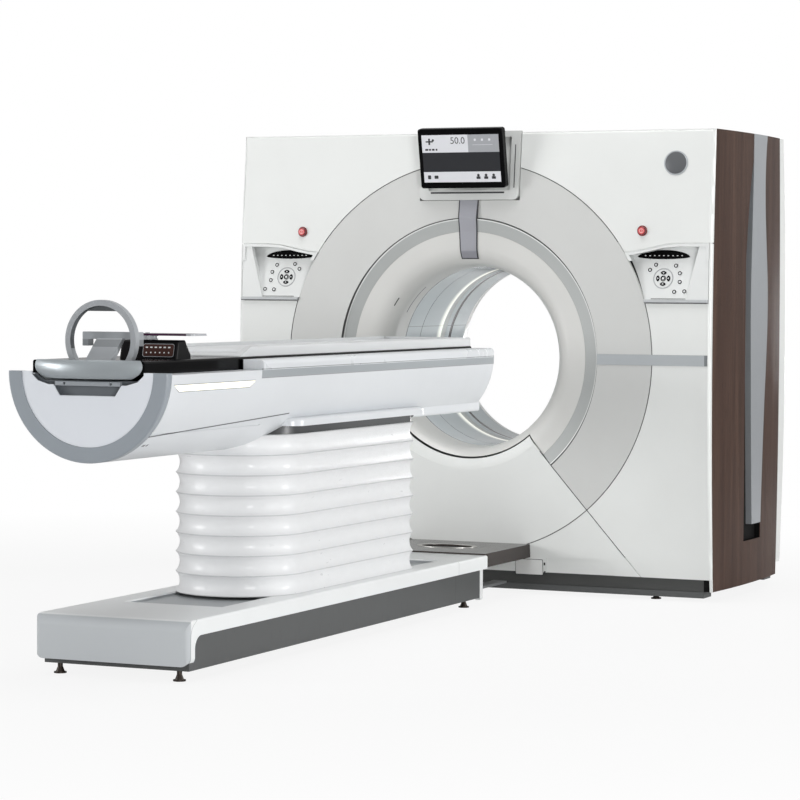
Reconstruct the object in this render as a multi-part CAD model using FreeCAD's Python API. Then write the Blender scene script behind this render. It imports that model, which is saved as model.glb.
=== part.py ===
"""A computed tomography scanner: a floor-standing gantry with a round patient bore, and its patient table.

Millimetres. +X is to the right of someone who faces the bore from the table, +Y runs along the bore
axis from the table into the gantry, and +Z is up. The origin is on the floor, below the middle of the
whole machine.
"""

import FreeCAD, Part
import math
import os

os.makedirs("parts", exist_ok=True)

V = FreeCAD.Vector
X_AXIS, Y_AXIS, Z_AXIS = V(1, 0, 0), V(0, 1, 0), V(0, 0, 1)

# ---- driving dimensions ------------------------------------------------------------------------

# gantry
gantry_width = 2238.0      # across the front covers
gantry_depth = 994.0       # from the front covers' top edge to the rear covers' top edge
gantry_top = 2015.0        # height of the roof
cover_bottom = 96.0        # lower edge of the front covers
face_bulge = 56.0          # how far the front stands forward at mid height
side_bulge = 24.0          # how far each side panel stands out at mid depth
band_top = 9.0             # white return on the side, behind the front's top edge
band_bulge = 35.0          # how far that return's rear edge curves forward
rear_band = 99.0           # the same return on the rear cover
bore_radius = 400.0
bore_height = 1032.0
disc_radius = 860.0        # the large round seam
trim_outer = 610.0         # grey ring
trim_inner = 550.0
fan_inner = 445.0          # upper edge of the fan cover below the bore
fan_half_angle = 40.5      # half of its opening angle, in degrees
skin = 12.0                # cover thickness
skin_face = 5.0            # its outer layer, which stops short at a seam
seam = 4.0                 # visible width of a seam
hair_gap = 0.6             # what is left between two covers behind the seam
seat_gap = 0.3             # between two curved faces that are fastened to each other
corner_round = 14.0
lip_radius = 92.0          # roll of the funnel into the bore
lip_forward = 32.0         # how far the funnel's lip stands forward
fan_forward = 8.0          # how far the fan cover's roll stands in front of the funnel
fan_flat = 8.0             # flat edge between the fan cover's roll and its face
fan_lap = 6.0              # how far the funnel reaches behind the fan cover's edge
# shallow recess in the covers near the floor, as place across and height above their lower edge
kick_outline = ((365.0, -1.0), (365.0, 65.0), (610.0, 70.0), (640.0, 62.0), (662.0, 42.0), (676.0, -1.0))
ring_forward = 44.0        # how far the grey ring's outer edge stands forward
ring_slope = 9.0           # how much less its inner edge does
ring_depth = 36.0
funnel_end = 168.0         # where the white funnel meets the liner, behind the front
rear_flare = 158.0         # depth of the flare at the rear of the bore, from the rear covers' edge
funnel_edge = 2.0          # thickness of the rear funnel where it meets the ring
liner_wall = 6.0
liner_grooves = (328.0, 680.0)
liner_groove_width = 3.0
liner_groove_depth = 2.0
window_start = 566.0       # scan window, behind the front
window_width = 52.0
window_setback = 1.0
strip_height = 46.0        # silver strip at bore height
strip_proud = 3.0
side_panel_thickness = 40.0
side_panel_low = 45.0
slot_front = 365.0         # black slot in the side panel, behind the front
slot_width = 240.0
slot_low = 235.0
slot_depth = 25.0
blade_proud = 2.0
# edges of the slot's front and of the blade, as height and place behind the front
slot_front_edge = ((1450.0, 365.0), (1600.0, 385.0), (1740.0, 410.0), (1840.0, 437.0),
                   (1895.0, 458.0))
blade_front_edge = ((303.0, 471.0), (405.0, 465.0), (850.0, 444.0), (1332.0, 432.0),
                    (1640.0, 446.0), (2022.0, 460.0))
blade_rear_edge = ((303.0, 603.0), (405.0, 610.0), (850.0, 651.0), (1332.0, 688.0),
                   (1640.0, 645.0), (2022.0, 664.0))

# control panels
panel_low = 1275.0
panel_high = 1530.0
# the brow's lower edge, as place across from the cluster and drop below the panel's top
brow_edge = ((92.0, 0.0), (20.0, 6.0), (-60.0, 24.0), (-120.0, 35.0), (-260.0, 47.0))
panel_lip = 14.0           # how far the lower lip stands out
panel_lip_height = 16.0
panel_lip_chamfer = 4.0
panel_ledge = 6.0          # depth below the front of the keyboard's lower edge
panel_recess = 52.0        # depth below the brow
panel_brow = 14.0
panel_brow_proud = 6.0
brow_reach = 75.0          # how far the brow runs down the panel's sides
panel_wall_low = 105.0     # width of the panel's outer wall at its bottom
panel_wall_high = 40.0     # and at its top
cluster_offset = 49.7      # how far the cluster lies from the panel's middle, towards the bore
cluster_height = 1380.0
cluster_reach = 24.0       # centre of an arrow key from the cluster's centre
arrow_length = 26.0
arrow_width = 15.0
key_height = 3.0
key_travel = 1.5
key_stem = 5.0
key_clearance = 0.4
key_skirt = 2.0            # part of the cap below the keyboard
key_stem_length = 8.0
pit_reach = 20.0           # height of the cutter above the keyboard
# the small keys, as place across and up from the cluster
small_keys = [(-37, 58), (-62, 36), (53, 54), (73, 22), (76, -15), (55, -57), (100, -55)]
small_key_radius = 9.0
panel_back = 60.0          # flat back, behind the front's top edge
estop_offset = 90.0        # from the cluster towards the bore
estop_height = 1583.0
estop_radius = 17.0
estop_stem = 8.0
estop_collar = 21.0
estop_proud = 16.0         # how far its head stands out
estop_head = 9.0
estop_round = 3.5
estop_collar_proud = 3.0
estop_collar_back = 6.0    # how far the collar reaches behind the cover
estop_stem_reach = 12.0    # how far the stem does
estop_seat = 1.0           # depth of the head's seat

# display
housing_half_width = 235.0
housing_low = 1720.0
housing_proud = 12.0
housing_corner = 26.0
housing_above = 6.0        # how far it rises above the roof
housing_depth = 46.0       # how far it reaches behind the front's top edge
housing_edge = 42.0        # its frame round the pocket
housing_top_edge = 20.0
housing_pocket = 18.0      # depth of the pocket
housing_pocket_back = 32.0
display_width = 400.0
display_height = 262.0
display_depth = 34.0
display_tilt = 11.0
display_low = 1776.0
display_stand_off = 74.0
display_corner = 12.0
display_edge_round = 4.0
arm_half_width = 60.0      # arm behind the display
arm_low = 80.0
arm_height = 100.0
arm_sink = 20.0            # how far the arm runs into the housing
tongue_top_width = 92.0
tongue_end_width = 80.0
tongue_thickness = 5.0
tongue_end = 430.0         # radius at which it stops, on the funnel
tongue_back = 10.0         # its hidden back, behind the front's top edge
tongue_knee = (6.0, 4.0)   # where it bends, outside and inside the grey ring's edge

# gantry frame and rotor, places counted from the front's top edge towards the rear
plinth_low = 16.0
plinth_setback = 14.0
plinth_depth = 100.0
plinth_groove_low = 26.0   # above the plinth's lower edge
plinth_groove_width = 4.0
plinth_groove_depth = 3.0
base_pan_low = 20.0        # above the plinth's lower edge
base_pan_half_width = 700.0
base_pan_high = 138.0
foot_inset = 60.0
gantry_foot_x = 848.0
post_inset = 70.0
post_depth = 70.0
post_half = 40.0
post_foot = 2.0            # how far it reaches into the plinth
side_rail_low = 500.0
side_rail_height = 60.0
side_rail_half = 30.0
frame_front = 262.0
frame_thickness = 110.0
frame_outer = 905.0
frame_shoulder = 100.0     # below the bore axis, from where the upright has straight sides
frame_foot_height = 30.0
frame_lap = 20.0           # how far the side rails run into the upright
bearing_outer = 575.0
bearing_wall = 34.0
bearing_length = 90.0
bearing_flange = 30.0      # how far the flange stands out
bearing_flange_depth = 12.0
hub_wall = 46.0
running_gap = 0.3
rotor_radius = 880.0
rotor_plate_front = 452.0
rotor_plate = 30.0
rotor_rim = 18.0
rotor_length = 320.0
stator_inner = 650.0
stator_outer = 710.0
air_gap = 1.5
stator_end_gap = 8.0       # between the stator and the rotor plate
magnet_end_gap = 14.0
hub_end_gap = 4.0
magnet_wall = 24.0
tube_radius = 115.0
tube_length = 230.0
tube_centre = 715.0
tube_round = 12.0
socket_radius = 34.0
socket_reach = 60.0
socket_y = 60.0
collimator_half = 130.0
collimator_depth = 150.0
collimator_drop = 70.0      # below the tube
detector_inner = 640.0
detector_thickness = 90.0
detector_width = 150.0
detector_half_angle = 33.0
generator_width = 250.0
generator_height = 420.0
generator_depth = 210.0
generator_drum_gap = 90.0  # clear of the bore
fin_pitch = 40.0
fin_gap = 22.0
fin_depth = 30.0
fin_count = 9
slip_ring_inner = 700.0
slip_ring_thickness = 16.0

# patient table, places counted from the gantry's front towards the foot end
table_reach = 3310.0       # foot end of the table top
body_radius = 308.0
body_axis_height = 1054.0
body_wall = 8.0
deck_drop = 7.0            # the flat deck under the cradle, below the axis
body_gantry_end = 480.0
body_flat_drop = 199.0     # flat underside of the stretch nearest the gantry, below the axis
body_flat_start = 1200.0
belly_seam_drop = 209.0
belly_seam_length = 825.0  # from the foot end
belly_seam_width = 3.0
end_ring_depth = 30.0
end_ring_inner = 255.0
end_ring_round = 6.0
end_ring_lip = 6.0         # the shell's edge over the spigot
end_cap_setback = 3.0
end_cap_floor = 8.0        # thickness of the plate behind the notch and the pocket
end_seam = 4.0
notch_half_width = 217.0   # opening in the end cap for the handle
notch_low_half_width = 150.0
notch_drop = 44.0
notch_bend_drop = 32.0
notch_bend = 24.0          # how far in the notch's edge bends
notch_shoulder_drop = 10.0
latch_half_width = 150.0
latch_low_half_width = 107.0
latch_low_drop = 81.0
latch_high_drop = 16.0
latch_bar_half_width = 126.0
latch_bar_height = 16.0
latch_bar_depth = 14.0
latch_travel = 8.0
latch_bar_drop = 24.0      # below the pocket's top
latch_bar_round = 3.0
latch_bar_gap = 0.4        # behind the pressed bar
latch_pin_radius = 5.0
latch_pin_clearance = 0.3
latch_pin_x = (-90.0, 90.0)
latch_pin_reach = 12.0
rail_inner = 222.0
rail_height = 30.0
rail_foot_end = 2608.0
rail_round = 18.0
collar_drop = 22.0         # below the flat underside
collar_height = 30.0
collar_half_width = 286.0
collar_foot_end = 2290.0
collar_gantry_end = 1116.0
collar_corner = 60.0
collar_neck_inset = 12.0
collar_inside = 30.0       # from the bellows' outline to the collar's opening
collar_round = 14.0
under_tray_thickness = 40.0
under_tray_half_width = 215.0
under_tray_gantry_end = 416.0
under_tray_lap = 60.0      # how far it reaches under the collar
under_tray_round = 10.0

# cradle
cradle_half_width = 216.0
cradle_thickness = 44.4
cradle_foot_end = 3300.0
cradle_gantry_end = 508.0
cradle_edge_round = 8.0
tray_foot_end = 2600.0
tray_end = 504.0
tray_rim_height = 36.0
tray_rim_width = 26.0
tray_floor_height = 12.0
tray_slope = 90.0
tray_half_width = 210.0
tray_round = 9.0
tray_foot_lip = 4.0        # its height at the foot end
mat_thickness = 16.0
mat_margin = 10.0
mat_gap = 0.5
mat_round = 6.0
handle_nose = 42.0         # how far the end handle stands out beyond the table top
handle_half_width = 207.0
handle_drop = 23.0         # its lower edge, below the axis
# sections of the end handle: narrower by, set back by, height above its lower edge
handle_sections = ((41.0, 14.0, 0.0), (18.0, 3.0, 12.0), (0.0, 0.0, 35.0), (2.0, 5.0, 55.0),
                   (7.0, 12.0, 63.0))
cradle_travel = 1700.0     # how far the cradle moves into the bore
trough_half_width = 202.0  # channel in the deck, through which the handle passes
trough_low_half_width = 176.0
trough_room = 7.0          # below the handle
trough_margin = 20.0       # room beyond the handle at the end of its travel
hoop_outer = 137.0
hoop_wall = 20.0
hoop_width = 26.0
hoop_y = 3208.0
hoop_rise = 66.0           # its centre, above the cradle
hoop_chord = 18.0
hoop_chord_inset = 6.0
hoop_chord_lap = 2.0
plate_half_width = 50.0
plate_foot = 3220.0
plate_head = 3150.0
plate_rise = 69.0          # above the cradle
plate_thickness = 14.0
beam_half_width = 109.0
beam_y = 3135.0
beam_depth = 36.0
beam_height = 25.0
beam_thickness = 22.0
beam_leg = 23.0
beam_round = 4.0
pod_left = -60.0
pod_right = 165.0
pod_foot_end = 2990.0
pod_length = 110.0
pod_height = 64.0
# the pod's side, as place from its foot end and from its gantry end, and drop below its top
pod_front = ((14.0, 6.0), (22.0, 0.0))
pod_back = ((40.0, 0.0), (0.0, 50.0))
pod_round = 8.0
hub_x = 15.0
hub_y = 2920.0
hub_radius = 35.0
hub_height = 15.0
hub_pin_radius = 9.0
hub_pin_head = 3.0         # above the plate
hub_pin_clearance = 0.05
swivel_length = 242.0
swivel_depth = 112.0
swivel_thickness = 7.0
swivel_gap = 0.3           # above the hub
swivel_corner = 16.0
swivel_end = 34.0          # from the pin to the plate's near end

# drive of the cradle, under the deck
drive_y = 900.0
motor_radius = 45.0
motor_length = 220.0
motor_drop = 50.0
motor_foot_half = 60.0
motor_foot_inset = 20.0
motor_foot_height = 40.0
gearbox_half = 55.0
gearbox_length = 70.0
gearbox_height = 105.0

# table base
base_half_width = 286.0
base_foot_end = 3121.0
base_cover_gantry_end = 520.0
base_skirt_gantry_end = 559.0
base_skirt_low = 37.0
base_band_low = 157.0
base_top = 212.0
base_wall = 6.0
pan_inset = 2.0            # of the pan, inside the skirt
pan_wall = 5.0
pan_floor = 9.0
pan_post_depth = 28.0      # the open frame at the pan's gantry end
pan_post_width = 22.0
rib_half = 4.0
rib_spread = 200.0         # of the ribs, from each column and each end
base_edge_round = 8.0
fascia_low = 56.0
fascia_length = 50.0
fascia_round = 45.0
fascia_reach = 3150.0      # foot end of the fascia
fascia_corner = 18.0       # its upright corners
fascia_top_round = 40.0    # its top edge
fascia_low_round = 30.0    # its lower corners, seen from the foot end
cover_half_width = 300.0
deck_half_width = 198.0
deck_foot_end = 2712.0
deck_gantry_end = 800.0
deck_step = 12.0
deck_rim = 10.0            # how far the deck reaches under the cover
deck_sheet = 4.0
table_foot_x = 235.0
table_foot_foot_end = 3090.0
table_foot_gantry_end = 620.0
foot_pad_radius = 22.0
foot_neck_radius = 9.0
foot_cone_height = 18.0
foot_cone_inset = 6.0      # from the pad's edge to the cone's
foot_pad_thickness = 5.0

# bridge plate and pedal
bridge_low = 160.0
bridge_high = 218.0
bridge_half_width = 290.0
bridge_gap = 0.5
bridge_recess_x = 115.0
bridge_recess_y = 70.0
bridge_recess_depth = 8.0
bridge_recess_centre = 255.0
pedal_width = 60.0
pedal_length = 330.0
pedal_side_gap = 0.5
pedal_ear = 8.0
pedal_clearance = 0.05     # round its pin
pedal_thickness = 10.0
pedal_x = 215.0
pedal_pin_radius = 6.0
pedal_pin_height = 66.0
pedal_pin_inset = 60.0     # from the skirt's gantry end
pedal_ear_height = 16.0    # above and below the pin
pedal_ear_reach = 14.0     # beyond it
pedal_boss_radius = 13.0

# lift
lift_travel = 480.0
column_size = 180.0
column_wall = 6.0
column_gap = 0.5
column_low = 46.0
column_high = 250.0
column_foot_y = 2090.0
column_gantry_y = 1480.0
column_step = 5.0
saddle_half = 110.0
saddle_drop = 11.0         # below the table top's belly
saddle_rise = 18.0         # above it

# bellows
bellows_half_width = 248.0
bellows_foot_end = 2425.0
bellows_nose = 250.0
bellows_gantry_end = 1135.0
bellows_corner = 45.0
bellows_pleats = 8
bellows_pleat_depth = 15.0
pleat_steps = 4            # sections to a pleat
bellows_wall = 4.0
bellows_rise = 54.0        # above the belly, before it is cut to the table top's form
bellows_gap = 0.5

# ---- places that follow ------------------------------------------------------------------------

total_length = table_reach + handle_nose + gantry_depth + face_bulge
front_y = total_length / 2 - face_bulge - gantry_depth
middle_y = front_y + gantry_depth / 2
half_width = gantry_width / 2
face_half_height = (gantry_top - cover_bottom) / 2
face_middle = cover_bottom + face_half_height
table_end_y = front_y - table_reach
hub_outer = bearing_outer - bearing_wall - running_gap
hub_inner = hub_outer - hub_wall
frame_back = front_y + frame_front + frame_thickness
plate_y = front_y + rotor_plate_front
rim_back = plate_y + rotor_length
component_y = plate_y + rotor_plate    # the rotor plate's rear face, which carries the components
shell_start = table_end_y + end_ring_depth + end_seam
pedal_pin_y = front_y - base_skirt_gantry_end + pedal_pin_inset
bore_end = gantry_depth - rear_flare
side_inner = half_width - side_panel_thickness
panel_outer = half_width - skin
seam_at_cluster = math.sqrt(disc_radius ** 2 - (cluster_height - bore_height) ** 2)
cluster_x = (seam_at_cluster + panel_outer) / 2 - cluster_offset
estop_x = cluster_x - estop_offset
belly = body_axis_height - body_radius
body_flat_low = body_axis_height - body_flat_drop
deck_level = body_axis_height - deck_drop
cradle_low = deck_level + hair_gap
cradle_top = cradle_low + cradle_thickness
tray_rim_high = cradle_top + tray_rim_height
tray_floor = cradle_top + tray_floor_height
handle_low = body_axis_height - handle_drop
trough_low = handle_low - trough_room
latch_low = body_axis_height - latch_low_drop
latch_high = body_axis_height - latch_high_drop
latch_bar_z = latch_high - latch_bar_drop
collar_low = body_flat_low - collar_drop
collar_high = collar_low + collar_height
under_tray_low = body_flat_low - under_tray_thickness
hoop_axis_height = cradle_top + hoop_rise
plate_high = cradle_top + plate_rise
beam_high = plate_high + beam_height
pod_high = cradle_top + pod_height
saddle_low = belly - saddle_drop
saddle_top = belly + saddle_rise
bellows_high = belly + bellows_rise
recess_level = base_top - deck_step
BIG = 3000.0               # larger than the machine
PAST = 1.0                 # how far a cutter passes a face, or one form runs into another
margin = 200.0             # how far a block reaches past what it cuts


# ---- plain shapes ------------------------------------------------------------------------------

def box(x0, x1, y0, y1, z0, z1):
    return Part.makeBox(x1 - x0, y1 - y0, z1 - z0, V(x0, y0, z0))


def rod_x(radius, x0, x1, y, z):
    return Part.makeCylinder(radius, x1 - x0, V(x0, y, z), X_AXIS)


def rod_y(radius, y0, y1, x=0.0, z=bore_height):
    return Part.makeCylinder(radius, y1 - y0, V(x, y0, z), Y_AXIS)


def rod_z(radius, z0, z1, x, y):
    return Part.makeCylinder(radius, z1 - z0, V(x, y, z0), Z_AXIS)


def ring_y(inner, outer, y0, y1):
    return rod_y(outer, y0, y1).cut(rod_y(inner, y0 - 1, y1 + 1))


def prism(points, along):
    """A polygon, swept along a vector."""
    return Part.Face(Part.makePolygon(points + [points[0]])).extrude(along)


def prism_xz(points, y0, y1):
    return prism([V(x, y0, z) for x, z in points], V(0, y1 - y0, 0))


def prism_yz(points, x0, x1):
    return prism([V(x0, y, z) for y, z in points], V(x1 - x0, 0, 0))


def prism_xy(points, z0, z1):
    return prism([V(x, y, z0) for x, y in points], V(0, 0, z1 - z0))


def fuse(shapes):
    whole = shapes[0].multiFuse(shapes[1:]) if len(shapes) > 1 else shapes[0]
    return whole.removeSplitter()


def mirror_x(shape):
    return shape.mirror(V(0, 0, 0), X_AXIS)


def pair(shape):
    """A shape and its mirror image on the other side of the machine."""
    return Part.makeCompound([shape, mirror_x(shape)])


def to_rear(shape):
    """The mirror image of a front piece, on the gantry's rear."""
    return shape.mirror(V(0, middle_y, 0), Y_AXIS)


def round_edges(shape, radius, chosen):
    """Rounds the edges that a test picks by their middle point and direction; a closed edge has none."""
    edges = []
    for edge in shape.Edges:
        middle = edge.valueAt((edge.FirstParameter + edge.LastParameter) / 2)
        along = edge.Vertexes[-1].Point - edge.Vertexes[0].Point
        if along.Length > 1e-6:
            along.normalize()
        if chosen(middle, along):
            edges.append(edge)
    return shape.makeFillet(radius, edges)


def revolve(profile):
    """Turns a closed outline of edges, drawn at radius X and depth Y, about the bore axis."""
    wire = Part.Wire(profile)
    wire.translate(V(0, 0, bore_height))
    return Part.Face(wire).revolve(V(0, 0, bore_height), Y_AXIS, 360)


def line(a, b):
    return Part.makeLine(V(a[0], a[1], 0), V(b[0], b[1], 0))


def arc(a, middle, b):
    return Part.Arc(V(a[0], a[1], 0), V(middle[0], middle[1], 0), V(b[0], b[1], 0)).toShape()


def export(name, shape):
    if not shape.isValid():
        raise ValueError(name + " is not a valid shape")
    shape.exportStep("parts/" + name + ".step")


# ---- the gantry's outer form -------------------------------------------------------------------

def crown_radius(bulge):
    return face_half_height ** 2 / (2 * bulge) + bulge / 2


def crown_y(height, bulge, start, depth=0.0):
    """Y of an upright crowned surface, at a height and a depth below it."""
    radius = crown_radius(bulge)
    return start - bulge + radius - math.sqrt((radius - depth) ** 2 - (height - face_middle) ** 2)


def face_y(height, depth=0.0):
    return crown_y(height, face_bulge, front_y, depth)


def crowned_block(bulge, start, depth, z0, z1, half, back):
    """Everything behind a crowned surface, down to a flat back."""
    low, middle, high = [V(-half, crown_y(z, bulge, start, depth), z) for z in (z0, (z0 + z1) / 2, z1)]
    low_back, high_back = V(-half, back, z0), V(-half, back, z1)
    edges = [Part.Arc(low, middle, high).toShape(), Part.makeLine(high, high_back),
             Part.makeLine(high_back, low_back), Part.makeLine(low_back, low)]
    return Part.Face(Part.Wire(edges)).extrude(V(2 * half, 0, 0))


def behind_band(extra=0.0, band=band_top):
    """The space behind the line where the white front ends on the side."""
    return crowned_block(band_bulge, front_y + band, -extra, -margin, gantry_top + margin, BIG, middle_y)


def between_bands():
    """The space between the front's side return and the rear's, less a hair gap at each."""
    return behind_band(-hair_gap).fuse(to_rear(behind_band(-hair_gap, rear_band)))


def front_block(depth, band=band_top):
    """The front's outer form, shrunk by a depth, without what lies behind its side return."""
    top, half = gantry_top - depth, half_width - depth
    block = crowned_block(face_bulge, front_y, depth, cover_bottom, top, half, middle_y)

    def at_front(p, d):
        return p.y < front_y + PAST and (abs(d.x) < 0.01 or p.z > top - PAST)
    if corner_round > depth + PAST:
        block = round_edges(block, corner_round - depth, at_front)
    return block.cut(behind_band(0.0, band))


def cover(outline):
    """A cover: the front's two layers inside an outline, which is a function of the half seam."""
    return fuse([face_layer.common(outline(seam / 2)), back_layer.common(outline(hair_gap / 2))])


full = front_block(0)
inset = front_block(skin_face)
face_layer = full.cut(inset)
back_layer = inset.cut(front_block(skin))
far = (front_y - margin, front_y + margin)


def disc(radius):
    return rod_y(radius, *far)


def slab(x0, x1, z0, z1):
    return box(x0, x1, far[0], far[1], z0, z1)


def fan_wedge(gap):
    """The space between the two slanted seams, grown by a gap on each side."""
    angle = math.radians(fan_half_angle)
    apex = bore_height + gap / math.sin(angle)
    reach = apex + margin
    side = reach * math.tan(angle)
    return prism_xz([(0, apex), (side, apex - reach), (-side, apex - reach)], *far)


def brow_points():
    """The control panel's upper edge, from its outer end to the round seam."""
    return [(panel_outer, panel_high)] + [(cluster_x + x, panel_high - drop) for x, drop in brow_edge]


def panel_space(gap):
    """The space that one control panel fills, shrunk by a gap."""
    top = [(x - gap, z - gap) for x, z in brow_points()]
    outline = top + [(top[-1][0], panel_low + gap), (panel_outer - gap, panel_low + gap)]
    return prism_xz(outline, *far).cut(disc(disc_radius + gap))


# ---- gantry covers -----------------------------------------------------------------------------

def display_gap(gap):
    """The notch for the display's housing, grown by a gap."""
    return slab(-housing_half_width - gap, housing_half_width + gap, housing_low - gap, BIG)


def front_top_cover():
    def outline(gap):
        above_brow = [(x, z + 2 * gap) for x, z in brow_points()]
        above_brow += [(above_brow[-1][0], panel_high + margin), (panel_outer, panel_high + margin)]
        side = prism_xz(above_brow, *far)
        space = slab(-BIG, BIG, panel_high + gap, BIG).fuse([side, mirror_x(side)])
        return space.cut(disc(disc_radius + gap)).cut(display_gap(gap))
    shape = cover(outline)
    y = face_y(estop_height)
    y0, y1 = y - estop_proud, y + skin + estop_stem_reach
    for x in (-estop_x, estop_x):
        collar = rod_y(estop_collar, y - estop_collar_proud, y + skin + estop_collar_back, x, estop_height)
        stem_hole = rod_y(estop_stem + key_clearance, y0, y1, x, estop_height)
        head_hole = rod_y(estop_radius + key_clearance, y0, y + estop_seat, x, estop_height)
        shape = shape.fuse(collar).cut(stem_hole).cut(head_hole)
    return shape


def front_ring_cover():
    def outline(gap):
        ring = disc(disc_radius - gap).cut(disc(trim_outer + gap))
        return ring.cut(fan_wedge(gap)).cut(display_gap(gap))
    return cover(outline).cut(strip_grooves())


def strip_grooves():
    """The shallow grooves across the front, one on each side, that hold the silver strips."""
    height = strip_height / 2
    groove = slab(trim_outer, panel_outer + hair_gap, bore_height - height, bore_height + height)
    return pair(groove.common(face_layer))


def trim_strips():
    front = crowned_block(face_bulge, front_y, -strip_proud, cover_bottom, gantry_top, half_width, middle_y)
    height = (strip_height - hair_gap) / 2
    room = slab(trim_outer + hair_gap, panel_outer, bore_height - height, bore_height + height)
    both = pair(front.cut(inset).cut(behind_band()).common(room))
    return Part.makeCompound([both, to_rear(both)])


def front_side_covers():
    def outline(gap):
        outer = slab(panel_outer + gap, BIG, -BIG, panel_high - gap)
        space = slab(-BIG, BIG, -BIG, panel_low - gap).fuse(outer)
        return space.cut(disc(disc_radius + gap)).cut(fan_wedge(gap)).common(slab(0, BIG, -BIG, BIG))
    right = cover(outline).cut(strip_grooves())
    foot = crowned_block(face_bulge, front_y, 0, side_panel_low, cover_bottom + PAST, half_width, middle_y)
    foot = foot.cut(behind_band()).common(slab(panel_outer, BIG, -BIG, BIG))
    foot = foot.cut(box(0, panel_outer, front_y + skin, BIG, -BIG, BIG))
    return pair(right.fuse(foot).removeSplitter())


def fan_roll(depth0, depth1):
    """The fan cover's upper edge, which rolls towards the bore in front of the funnel."""
    lip = bore_radius + lip_radius
    y_lip = front_y - lip_forward - fan_forward
    across = lip - fan_inner
    points = []
    for depth in (depth0, depth1):
        reach = lip_radius - depth
        drop = lip_radius - math.sqrt(reach ** 2 - across ** 2)
        half = math.sqrt(reach ** 2 - (across / 2) ** 2)
        points.append([(lip + fan_flat, y_lip + depth), (lip, y_lip + depth),
                       (lip - across / 2, y_lip + lip_radius - half), (fan_inner, y_lip + drop)])
    outer, inner = points
    return revolve([line(outer[0], outer[1]), arc(*outer[1:]), line(outer[3], inner[3]),
                    arc(*reversed(inner[1:])), line(inner[1], inner[0]), line(inner[0], outer[0])])


def front_fan_cover():
    """The cover below the bore: flush with its neighbours, with a rolled edge towards the bore."""
    lip = bore_radius + lip_radius
    layers = []
    for layer, depths, gap in ((face_layer, (0, skin_face), seam / 2),
                               (back_layer, (skin_face, skin), hair_gap / 2)):
        roll = fan_roll(*depths).common(fan_wedge(-gap)).cut(disc(fan_inner + gap))
        field = fan_wedge(-gap).common(disc(disc_radius - gap))
        layers.append(layer.common(field).cut(disc(lip)).fuse(roll))
    return fuse(layers)


def front_bottom_cover():
    def outline(gap):
        return fan_wedge(-gap).cut(disc(disc_radius + gap))
    kick = prism_xz([(x, cover_bottom + z) for x, z in kick_outline], *far)
    groove = face_layer.common(kick)
    return cover(outline).cut(groove).cut(mirror_x(groove))


def funnel_profile(depth):
    """The funnel from the grey ring into the bore."""
    lip = bore_radius + lip_radius
    y_lip = front_y - lip_forward
    reach = lip_radius - depth
    slant = math.sqrt(0.5) * reach
    return {"rim": (trim_inner, front_y - ring_forward + ring_slope + depth),
            "lip": (lip, y_lip + depth), "roll": (lip - slant, y_lip + lip_radius - slant),
            "bore": (lip - reach, y_lip + lip_radius), "end": (lip - reach, front_y + funnel_end)}


def funnel_shape(depth0, depth1, end=funnel_end):
    outer, inner = funnel_profile(depth0), funnel_profile(depth1)
    outer["end"] = (outer["end"][0], front_y + end)
    inner["end"] = (inner["end"][0], front_y + end)
    return revolve([line(outer["rim"], outer["lip"]), arc(outer["lip"], outer["roll"], outer["bore"]),
                    line(outer["bore"], outer["end"]), line(outer["end"], inner["end"]),
                    line(inner["end"], inner["bore"]), arc(inner["bore"], inner["roll"], inner["lip"]),
                    line(inner["lip"], inner["rim"]), line(inner["rim"], outer["rim"])])


def front_funnel():
    under_fan = fan_wedge(seam / 2).cut(disc(fan_inner - fan_lap))
    return funnel_shape(0, liner_wall).cut(under_fan)


def trim_profile(depth):
    return [(trim_outer - hair_gap, front_y - ring_forward + depth),
            (trim_inner + hair_gap, front_y - ring_forward + ring_slope + depth)]


def trim_rings():
    """The grey ring round the front funnel, open above the fan cover, and the closed one at the rear."""
    outer, inner = trim_profile(0), trim_profile(ring_depth)
    band = revolve([line(outer[0], outer[1]), line(outer[1], inner[1]), line(inner[1], inner[0]),
                    line(inner[0], outer[0])])
    return Part.makeCompound([band.cut(fan_wedge(seam / 2)), to_rear(band)])


def rear_funnel():
    """The flare at the rear of the bore: an arc that leaves it straight and ends inside the rear ring."""
    start = front_y + bore_end
    end = front_y + gantry_depth + ring_forward - ring_slope
    rise, run = trim_inner - funnel_edge - bore_radius, end - start
    radius = (rise ** 2 + run ** 2) / (2 * rise)
    half_turn = math.asin(run / radius) / 2

    def points(depth):
        reach = radius - depth
        return [(bore_radius + radius - reach * math.cos(turn), start + reach * math.sin(turn))
                for turn in (0, half_turn, 2 * half_turn)]
    outer, inner = points(0), points(liner_wall)
    flare = revolve([arc(*outer), line(outer[2], inner[2]), arc(*reversed(inner)), line(inner[0], outer[0])])
    return flare.common(rod_y(trim_inner, start, end))


def rear_cover():
    """The one-piece rear cover, with the opening of the rear ring."""
    shell = front_block(0, rear_band).cut(front_block(skin, rear_band))
    return to_rear(shell.cut(disc(trim_outer + hair_gap / 2)).cut(strip_grooves()).removeSplitter())


def bore_liner():
    """Two tubes, with the gap for the scan window between them and a groove round each."""
    outer = bore_radius + liner_wall
    window_end = front_y + window_start + window_width
    parts = [ring_y(bore_radius, outer, front_y + funnel_end, front_y + window_start),
             ring_y(bore_radius, outer, window_end, front_y + bore_end)]
    for k, place in enumerate(liner_grooves):
        y = front_y + place
        parts[k] = parts[k].cut(ring_y(bore_radius - PAST, bore_radius + liner_groove_depth, y,
                                       y + liner_groove_width))
    return Part.makeCompound(parts)


def scan_window():
    start = front_y + window_start
    return ring_y(bore_radius + window_setback, bore_radius + liner_wall - window_setback, start,
                  start + window_width)


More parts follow.
